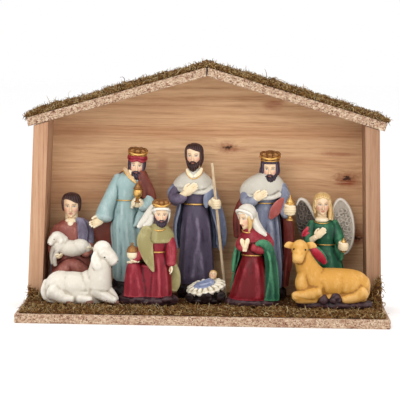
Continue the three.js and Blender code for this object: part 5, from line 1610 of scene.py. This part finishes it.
def sheep():
    f = Figure("sheep", 30.4, 15.5)
    f.clay("body", "wool", [
        ball(-5, 0, 12.5, 23, 12.2, 13), ball(-14, 0, 13.4, 13, 12.2, 12.6), ball(12, 0, 13.5, 15, 11, 14),
        loft([[0.3, 23, 10, -2.6, 0], [5, 26, 12.2, -1.2, 0], [10, 25, 12, -1, 0]]),
        tube([[16.4, -1, 14, 11.8], [18, -2, 26, 9.6], [19.4, -2.4, 36, 8.2]]),
        ball(20, -2.6, 44, 7.6, 7, 7.8),
        tube([[20.4, -3, 42.6, 7.3], [26, -3.6, 38.4, 6.2], [29.6, -4, 34.8, 4.7]]),
        tube([[14.8, -7.8, 42, 2.2, 1.4], [15, -9.6, 36.4, 3.9, 1.9], [17, -10.4, 31, 4, 1.7],
              [18.4, -10.2, 27.8, 2, 1.2]]),
        tube([[20, 4, 41, 2, 1.4], [19, 6.4, 36, 3.4, 1.6], [19, 7, 30, 2.4, 1.3]]),
        tube([[14, -7, 11, 5.4], [23, -8.6, 6.4, 4.4], [31, -8.6, 3.2, 2.8]]),
        tube([[22, -2, 13, 4.8], [28, -3.4, 7.6, 3.8], [31.6, -4, 3.4, 2.8]]),
        tube([[-19, -7, 10, 8], [-11, -10.6, 5.4, 5], [-4, -11.4, 3.8, 3.6]]),
        tube([[-24.6, 1, 16, 4.2], [-27, -1, 9, 3.6], [-25.4, -2, 3.4, 3]]),
        tube([[2, -10.2, 4.6, 4], [11, -11.2, 3.6, 3.4]]),
    ], voxel=0.5, smooth=10, carve=grooved(f.origin, [
        ([[-13, 19], [-9, 15], [-8.4, 10], [-11, 6]], 1.5, 0.6),
        ([[8, 17], [11, 12], [16, 8.4], [24, 6.2]], 1.3, 0.5),
        ([[27.6, 30.6], [29.8, 32.2], [33, 32.8]], 0.5, 0.4),
        ([[19.4, 41], [22, 42.2], [24.6, 41]], 0.8, 0.3), ([[-23, 14], [-22.4, 8], [-24, 4]], 1.0, 0.6),
        ([[20, 11], [26, 8.8], [30, 5.4]], 0.9, 0.5), ([[11.4, 40], [11.8, 34], [14, 28.6]], 0.9, 0.4),
    ], 0.1))
    f.clay("eyes", "black_brown", [
        ball(22.6, -9.4, 38.9, 0.95, 0.55, 0.75), ball(22.4, 4.4, 39, 0.8, 0.5, 0.8),
        ball(33, -6.4, 35.4, 0.5, 0.5, 0.4),
    ], voxel=0.16, smooth=2)
    f.clay("hooves", "hoof_brown", [
        ball(-6, -13, 2.3, 3.3, 2.1, 2.1), ball(10.6, -13, 2.3, 3.4, 2.1, 2.1),
        ball(32.4, -8.4, 1.9, 2.2, 2, 1.8),
    ], voxel=0.3, smooth=3)


def king_kneeling():
    f = Figure("king_kneeling", 25.0, 15.3)
    f.clay("foot", "earth_brown", [
        mound(24.3, 15.2, 6.6, -1.3, 0, 19), ball(-7.6, -12.4, 4.8, 5.6, 3, 2.6),
        ball(14, -11, 4.6, 5, 3.4, 2.4),
    ], carve=rocky(f.origin))
    f.clay("robe", "crimson", [
        loft([[6, 14, 12.4, -1.6, 1], [20, 12.6, 11.6, -1, 1], [32, 10.6, 10.2, 1, 0.6]]),
        loft([[6, 11.2, 9, -10.4, -4.5], [12, 10.4, 8.6, -10.6, -4.6], [22, 8.2, 7.6, -12, -5],
              [31, 5.8, 6, -13.2, -6], [35.4, 3.6, 3.8, -13.6, -7]],
             pleats(4, -175, -10, 13, 0.9, 6, 30, 63)),
        loft([[6, 10.4, 12.6, 7, 0.4], [14, 10, 12, 7.2, 0.4], [26, 9, 11, 7.2, 0.4],
              [36, 8.4, 9.6, 6.6, 0.4], [43, 9.4, 9, 4.6, 0], [50, 11.6, 9.4, 4.4, 0],
              [57, 11.4, 8.6, 5, 0], [62, 7.4, 7, 6.6, 0]],
             [[-120, 11, 1.2, 6, 40, 8], [-84, 11, 1.3, 6, 38, -6], [-45, 11, 1, 6, 40, -4],
              [-12, 10, 1, 6, 36, 0]]
             + pleats(5, 30, 160, 11, 0.8, 6, 40, 62)),
        tube([[13.4, -1, 57, 4.6], [16.6, -4, 48, 4.8], [17.4, -7, 39, 4.4], [17.4, -8.4, 33.6, 3.8]]),
        tube([[-3, -4, 52, 4.4], [-8.6, -8.4, 42, 4.4], [-12.4, -9.8, 36.6, 3.6]]),
    ])
    f.clay("mantle", "olive", [
        cape([[11, 17.4, 14.4, 1.4, 0.2, 4, 176], [28, 15.8, 13, 1.4, 0.2, 0, 176],
              [44, 13.4, 11, 3.6, 0, -6, 180], [54, 14.4, 10.4, 4.4, 0, -10, 186]], 1.7,
             pleats(8, 0, 180, 9, 1, 11, 50, 64)),
        loft([[50.6, 14.4, 10.8, 4.4, 0], [53, 15.6, 11.4, 4.2, 0], [58, 14, 10, 4.8, 0],
              [62.5, 9.6, 8.4, 6, 0], [66, 6, 6.4, 7, 0]], pleats(7, -170, -10, 10, 0.6, 50, 62, 65)),
        tube([[-2, -7, 61, 5.4, 2.4], [-3.8, -9.6, 54, 6.6, 2.2], [-3.6, -11.2, 48, 6.4, 2],
              [-1.2, -12.4, 39.5, 4.8, 1.8], [1.6, -13, 32, 2.6, 1.5], [3.2, -13, 27.8, 1, 0.9]]),
        tube([[19.2, -1, 32, 2.6, 2.2], [21, -1.6, 25, 3.7, 2.2], [21.2, -1.8, 17, 3.8, 2.1],
              [20, -1.6, 11.4, 2.8, 1.7]]),
    ], voxel=0.42)
    head = Head(8.4, -2.2, 73.6, 8.7, turn=8, nod=4)
    f.clay("neck", "skin_hands", [f.neck(head, (6.6, -0.6, 62))], voxel=0.32)
    f.face(head)
    f.beard(head, "hair_black", 0.16, 0.5)
    f.clay("scarf", "scarf_white", [
        head.form(ball(0, 0.16, 0.34, 0.84, 0.8, 0.62)),
        tube(head.rows([[-0.78, 0.0, 0.35, 0.14], [-0.5, -0.56, 0.56, 0.15], [0, -0.72, 0.64, 0.14],
                        [0.5, -0.56, 0.56, 0.15], [0.78, 0.0, 0.35, 0.14]])),
        tube(head.rows([[0.72, 0.0, 0.4, 0.14], [0.76, 0.02, 0, 0.14], [0.66, 0.1, -0.5, 0.16],
                        [0.45, 0.3, -0.9, 0.2]])),
        tube(head.rows([[0, 0.66, 0.2, 0.5, 0.4], [0, 0.7, -0.5, 0.5, 0.3], [0, 0.74, -1.2, 0.5, 0.2]])),
        tube([[2.6, 0.4, 79, 3.6, 3.8], [-0.8, -0.6, 73.4, 4.2, 3.4], [-4.6, -2, 68, 3.8, 2.2],
              [-8.4, -3.4, 64.4, 2.6, 1.3], [-10.4, -4, 63.2, 1.2, 0.8]]),
        tube([[1, -1.4, 72, 2.6, 3], [-1, -3, 66.6, 3, 2.4], [-4.6, -4.4, 63.6, 2, 1.4]]),
    ], voxel=0.34, carve=scarf_face(head, f.origin))
    f.crown(head, 0.72, 0.76, 1.4)
    f.clay("trims", gold, [
        ring_of(4.1, 0, 43, 9.8, 9.2, 0.75),
        ring_of(7.2, -3.2, 63, 5.4, 6.2, 0.75, tilt=2.2, start=185, end=355),
    ], voxel=0.24, smooth=2)
    f.clay("cup", "cream_cup", [
        moved(lathe([[0, 0], [2.6, 0], [3.7, 1.4], [4.1, 3.2], [4.1, 5.4], [0, 5.4]]), (-14.3, -12.6, 38)),
    ], voxel=0.22, smooth=2)
    f.clay("cup_lid", old_gold, [
        moved(lathe([[0, 0], [4.3, 0], [4.5, 0.8], [4, 3], [2.5, 5], [1.1, 5.8], [0.9, 6.4], [1.3, 7.2],
                     [0.9, 7.9], [0, 8.1]]),
              (-14.3, -12.6, 43.2)),
    ], voxel=0.2, smooth=1)
    f.clay("hands", "skin_hands",
           hand((-10.2, -10.6, 35.4), (-0.86, -0.5, 0.02), (-0.1, 0.3, 0.95), 7.8, 0.3)
           + hand((-17, -10.4, 34.6), (0.7, -0.6, 0.1), (0.1, 0.3, 0.95), 7, 0.3, mirror=-1)
           + hand((17.6, -8.8, 32), (0.1, -0.25, -0.95), (-0.85, -0.3, 0), 8, 0.2, 0.05), voxel=0.26,
           smooth=3)


def scarf_face(head, origin):
    """Keeps cloth off the face: points in front of it are pushed back to its side."""
    middle = head.middle + origin
    spin = head.spin

    def carve(points, facing):
        local = (points - middle) @ spin / head.half
        x, y, z = local.T
        inside = (np.abs(x) < 0.5) & (z < 0.5) & (z > -1.1) & (y < -0.3)
        local[inside, 1] = -0.3
        return local * head.half @ spin.T + middle
    return carve


def mother():
    f = Figure("mother", 20.6, 14.8)
    f.clay("foot", "earth_brown", [mound(22.2, 14.6, 5.5, 1, 0, 23)], carve=rocky(f.origin))
    f.clay("dress", "dress_crimson", [
        loft([[4.5, 18.2, 13.4, 0.4, 0], [12, 17, 13, 1, 0], [24, 13.8, 11.6, 1.2, 0],
              [34, 10.6, 9.6, 1, 0], [40, 8.8, 8.4, 0.8, 0], [46, 9.8, 9, 1, 0], [52, 10.6, 8.8, 1.2, 0],
              [57, 8.6, 7.8, 0, 0], [61, 5.2, 6, -2, 0]],
             [[-132, 13, 1.4, 5, 36, 12], [-76, 15, 2.2, 5, 39, 2], [-165, 11, 1.1, 5, 34, 2],
              [-46, 10, 1, 5, 36, 0]] + pleats(6, 10, 170, 10, 1, 5, 38, 71)),
        tube([[8.4, 1, 54.6, 4.6], [11, -3, 49, 4.4], [7.4, -7.6, 46.4, 4.2], [1, -10, 48, 3.4]]),
        tube([[-6, -0.6, 55, 4.4], [-9.2, -5, 50, 4.2], [-8.4, -9, 48, 3.6], [-6.8, -10.6, 48.6, 3]]),
    ])
    f.clay("shawl", "crimson", [
        loft([[52, 11.6, 9.4, 1.8, 0.4], [55, 12, 9.6, 1.6, 0.4], [59, 9.2, 8.4, 0.4, 0.4],
              [63, 5.6, 6.4, -1.6, 0.4]],
             pleats(6, -160, -20, 10, 0.5, 52, 62, 72)),
        tube([[9.6, 0, 56, 4.8, 4.4], [13.4, -2, 51, 4.6, 4.4], [13, -4.6, 47, 3.8, 3.6]]),
    ], voxel=0.4)
    f.clay("cloak", "forest", [
        cape([[3.4, 20.6, 14.8, 1.6, 0.2, -48, 150], [14, 19.6, 14.4, 1.8, 0.2, -44, 156],
              [26, 17, 13.4, 2, 0.2, -40, 168], [38, 14.4, 12, 2.4, 0.2, -40, 178],
              [47, 13.4, 11.2, 2.6, 0.2, -44, 186], [53, 11.6, 9.8, 2, 0.4, -30, 186]],
             2, pleats(10, -48, 170, 9, 1.2, 4, 48, 73)),
        tube([[3.6, -10.8, 50.8, 1.8, 1.6], [7.8, -11, 51.8, 3.2, 2.6], [12, -9.6, 49.4, 4.2, 3.6],
              [14.6, -8, 43, 4.6, 4]]),
        loft([[4.5, 7.4, 5, 15.4, -7.4], [20, 6.2, 4.8, 16.2, -7.4], [32, 5.2, 4.4, 16, -7.4],
              [41, 4.8, 4.4, 14.8, -7.8], [46, 4.4, 4, 13.2, -8.4], [49.6, 3, 2.8, 11.4, -9]],
             [[-70, 17, 1.1, 4, 46, -30], [-118, 15, 0.9, 4, 40, 24], [-20, 15, 0.9, 4, 40, -10]]),
        tube([[-10.4, 1.6, 52, 1.6, 2], [-13, 0.6, 44, 1.7, 2], [-14.6, 0, 35, 1.8, 2],
              [-15.2, -0.6, 27, 1.2, 1.4]]),
    ], voxel=0.42)
    head = Head(-4.8, -2.4, 71.8, 9.1, turn=-46, nod=12, tilt=-4)
    f.clay("neck", "skin_hands", [f.neck(head, (-2.2, -0.6, 58))], voxel=0.32)
    f.face(head, "fair")

    def parted(x, z):
        arch = 0.6 - 0.55 * np.abs(x) ** 1.2
        return np.clip(smooth_step(z, arch - 0.05, arch + 0.05) + smooth_step(np.abs(x), 0.5, 0.58), 0, 1)
    f.hair(head, "hair_gold", parted, 0.1, 22, low=-0.7, wave=0.012, part=0.0)
    f.clay("locks", "hair_gold", [
        tube(head.rows([[0.56, -0.34, 0.3, 0.12], [0.66, -0.3, -0.3, 0.19], [0.6, -0.36, -0.8, 0.17],
                        [0.5, -0.46, -1.15, 0.08]])),
        tube(head.rows([[-0.6, -0.15, 0.1, 0.1], [-0.64, -0.12, -0.35, 0.12],
                        [-0.56, -0.15, -0.75, 0.08]])),
    ], voxel=0.26, smooth=3)
    f.clay("scarf", "scarf_white", [
        head.form(ball(0, 0.14, 0.36, 0.86, 0.9, 0.86)),
        tube(head.rows([[-0.86, 0.14, -0.1, 0.11], [-0.82, -0.2, 0.42, 0.12], [-0.46, -0.62, 0.76, 0.12],
                        [0, -0.74, 0.88, 0.12], [0.46, -0.6, 0.76, 0.12], [0.8, -0.2, 0.36, 0.12],
                        [0.76, -0.06, -0.1, 0.12]])),
        tube([[-1.4, 2.4, 74, 5.8, 6], [0.6, 2, 67, 5.6, 5.4], [4.6, 0.6, 61, 5.2, 4.4],
              [9.8, -1, 57.2, 3.4, 2.6]]),
        tube([[0.2, -2, 73, 2.6, 3], [2.4, -3.8, 66.6, 3, 2.6], [6, -4, 61, 3, 2.4],
              [11, -3.4, 57.4, 1.8, 1.6]]),
        tube([[-0.4, 5, 72, 4.6, 4], [1.6, 6, 64, 4.4, 3.2], [2.4, 6.4, 57, 5, 2.4]]),
    ], voxel=0.36, carve=scarf_face(head, f.origin))
    f.clay("trims", gold, [
        ring_of(0.8, 0, 41.2, 8.9, 8.7, 0.6),
        ring_of(-3.6, -2.2, 61.4, 4.6, 5.2, 0.6, tilt=1.6, start=180, end=350),
    ], voxel=0.22, smooth=2)
    f.clay("hands", "skin_hands",
           hand((-5, -11.8, 46.8), (0.2, -0.1, 0.97), (-0.75, 0.6, 0.2), 8.8, 0.03, 0.0, mirror=-1)
           + hand((-6.8, -11.8, 46.8), (-0.24, -0.1, 0.97), (0.75, 0.6, 0.2), 8.6, 0.03, 0.0)
           + [ball(-4, -12.2, 52.6, 2, 1.4, 3.4, (0, 14, 0)),
              ball(-7.7, -12.2, 52.4, 2, 1.4, 3.4, (0, -16, 0)),
              ball(-5.8, -12.1, 50.4, 2.4, 1.5, 3.2)], voxel=0.26, smooth=5)


def manger():
    f = Figure("manger", 16.1, 12.0)
    f.clay("cradle", "black_brown", [
        mound(14.4, 10.2, 4, 0, 0, 27),
        tube([[1.4, -11.2, 5, 4.6], [1.4, 0, 5.4, 4.6], [1.4, 9, 5.4, 4.4]], blunt=0.15),
        tube([[-12.8, -8.4, 4.4, 3.6], [-10, 0, 5, 3.8], [-8, 8, 5, 3.6]], blunt=0.2),
        tube([[13.6, -8.4, 6, 4], [12, 0, 6.4, 4], [10, 8, 6, 3.6]], blunt=0.2),
        tube([[-12, 7.4, 8, 3], [0, 8.2, 12, 3], [9, 8, 16, 2.6]], blunt=0.3),
        loft([[2, 12.4, 8.6, 0, 0], [9, 13, 9, 0.6, 0]]),
    ], voxel=0.36, carve=rocky(f.origin, 0.35))
    # The bedding lies tilted to the front and to one side
    spin = np.array(Matrix.Rotation(math.radians(-11.5), 3, "Y")
                    @ Matrix.Rotation(math.radians(24), 3, "X"))

    def laid(form):
        return form[0] @ spin.T + xyz(0.8, -1.2, 13.2), form[1]
    lobes = [ball(0, 0, 0, 13.4, 8.8, 2.6)]
    for k in range(17):
        a = 2 * math.pi * k / 17 + 0.2
        lobes.append(ball(13.6 * math.cos(a), 8.8 * math.sin(a), -0.5 + 0.5 * math.sin(7 * a), 3.1, 2.6,
                          1.7))
        lobes.append(tube([[9 * math.cos(a), 5.6 * math.sin(a), 1.4, 1.6, 1.2],
                           [13 * math.cos(a), 8.2 * math.sin(a), 0.8, 1.9, 1.4],
                           [15 * math.cos(a), 9.4 * math.sin(a), -2.4, 1.6, 1.2]]))
    f.clay("bedding", "bedding", [laid(form) for form in lobes], voxel=0.34, smooth=3, grain=0.15)
    f.clay("blanket", "blanket_blue", [
        laid(ball(-1.4, -0.6, 2.2, 9.2, 5.4, 2.4, (0, 0, 6))), laid(ball(3.4, 0, 3.2, 4.6, 4.4, 2.4)),
        laid(tube([[-8, -2, 3, 1.1], [-2, -3.6, 4, 1.2], [5, -2.6, 4.4, 1.1]])),
        laid(tube([[-7, 1.4, 3, 1.1], [0, 1.6, 4.4, 1.2], [6, 2, 4.6, 1.1]])),
    ], voxel=0.3, smooth=3, grain=0.15)
    head = Head(6.4, 0.2, 22.4, 4.1, turn=-8, nod=-30, tilt=10)
    f.face(head, "fair")

    def line(x, z):
        return np.clip(smooth_step(z, 0.52, 0.62) + smooth_step(np.abs(x), 0.56, 0.62), 0, 1)
    f.hair(head, "hair_gold", line, 0.1, 16, low=-0.5, wave=0.012)


def ox():
    f = Figure("ox", 41.6, 15.9)
    f.clay("foot", "earth_brown", [
        mound(31.2, 15.2, 5.2, 0, 0, 29), ball(-9, -11.6, 6.4, 4.3, 3.8, 5),
        ball(0.6, -11.8, 7, 5.4, 3.8, 5.8),
    ], carve=rocky(f.origin))
    f.clay("body", "ox_hide", [
        tube([[-13, -1, 19, 12.4, 13.6], [-4, 0, 19, 12.6, 14.4], [6, 0, 18.6, 12.8, 14.2],
              [15, 0, 17.6, 12.8, 13.6], [20, 0, 15.6, 12, 11.6]], blunt=0.75),
        loft([[4, 26, 12, 0, 0], [9, 27.4, 12.8, -0.2, 0], [13, 25, 12, 0, 0]]),
        tube([[-12, -1, 17, 12.8], [-20, -2, 27, 10.6], [-25, -3, 37, 8.2], [-27.2, -3.6, 43, 7.2]]),
        tube([[-24, -6, 28, 5.6], [-26.4, -6.6, 20, 6.2], [-23, -7, 12, 6.2]]),
        ball(-29, -5.4, 47.6, 7, 7.4, 7.4), ball(-29, -5, 52.2, 4.6, 4.4, 3),
        tube([[-29.3, -8, 46.4, 5.8], [-30.4, -12.4, 41.6, 4.9], [-30.9, -14, 39.6, 4.3]]),
        ball(-32.9, -11.2, 38.6, 2.3, 2.6, 2.5), ball(-28.8, -11.2, 38.4, 2.3, 2.6, 2.5),
        tube([[-34, -4.4, 50, 2.2, 1.5], [-38, -5.4, 50.6, 3.2, 1.4], [-41.2, -5, 49.4, 1.5, 1]]),
        tube([[-24, -4.4, 50, 2.2, 1.5], [-19.6, -5.4, 50.8, 3.2, 1.4], [-15.8, -5, 49.6, 1.5, 1]]),
        tube([[-13, -9.4, 13, 6.4], [-23.6, -11, 10.4, 5.2], [-33, -11.2, 9.4, 3.8]]),
        tube([[-16, -9.8, 8, 4.4], [-26, -11, 6.8, 3.6], [-31, -11, 6.6, 2.8]]),
        tube([[22, -7.4, 13, 7], [15, -10.6, 9, 4.8], [7.4, -11.8, 7.6, 3.8]]),
        tube([[25, 2, 20, 2], [27, -3, 12, 1.8], [23, -9, 8.4, 1.7]]),
    ], voxel=0.55, smooth=16, carve=grooved(f.origin, [
        ([[-11.6, 21], [-9.6, 17.6], [-10, 12.6], [-13, 9]], 1.6, 1.1),
        ([[5.4, 25], [6.4, 21], [5.4, 15], [8, 9.8]], 1.6, 0.8),
        ([[-33, 9.8], [-24, 7.6], [-16, 6.6]], 0.7, 0.5),
        ([[-34, 36.6], [-30.7, 35.8], [-27.4, 36.6]], 0.6, 0.5),
        ([[20, 22], [21.6, 17], [19.6, 12]], 1.5, 0.4),
        ([[-31.4, 45.4], [-29.4, 43.6], [-27.4, 45.2]], 0.7, 0.25),
    ], 0.06))
    f.clay("eyes", "black_brown", [
        ball(-33.7, -11.1, 48, 1.2, 0.7, 0.8), ball(-24.9, -11.3, 47.6, 1.2, 0.7, 0.8),
        ball(-32.9, -14.1, 40.2, 0.6, 0.6, 0.45), ball(-28.4, -14.3, 40, 0.6, 0.6, 0.45),
    ], voxel=0.18, smooth=2)


sheep()
king_kneeling()
manger()
mother()
ox()
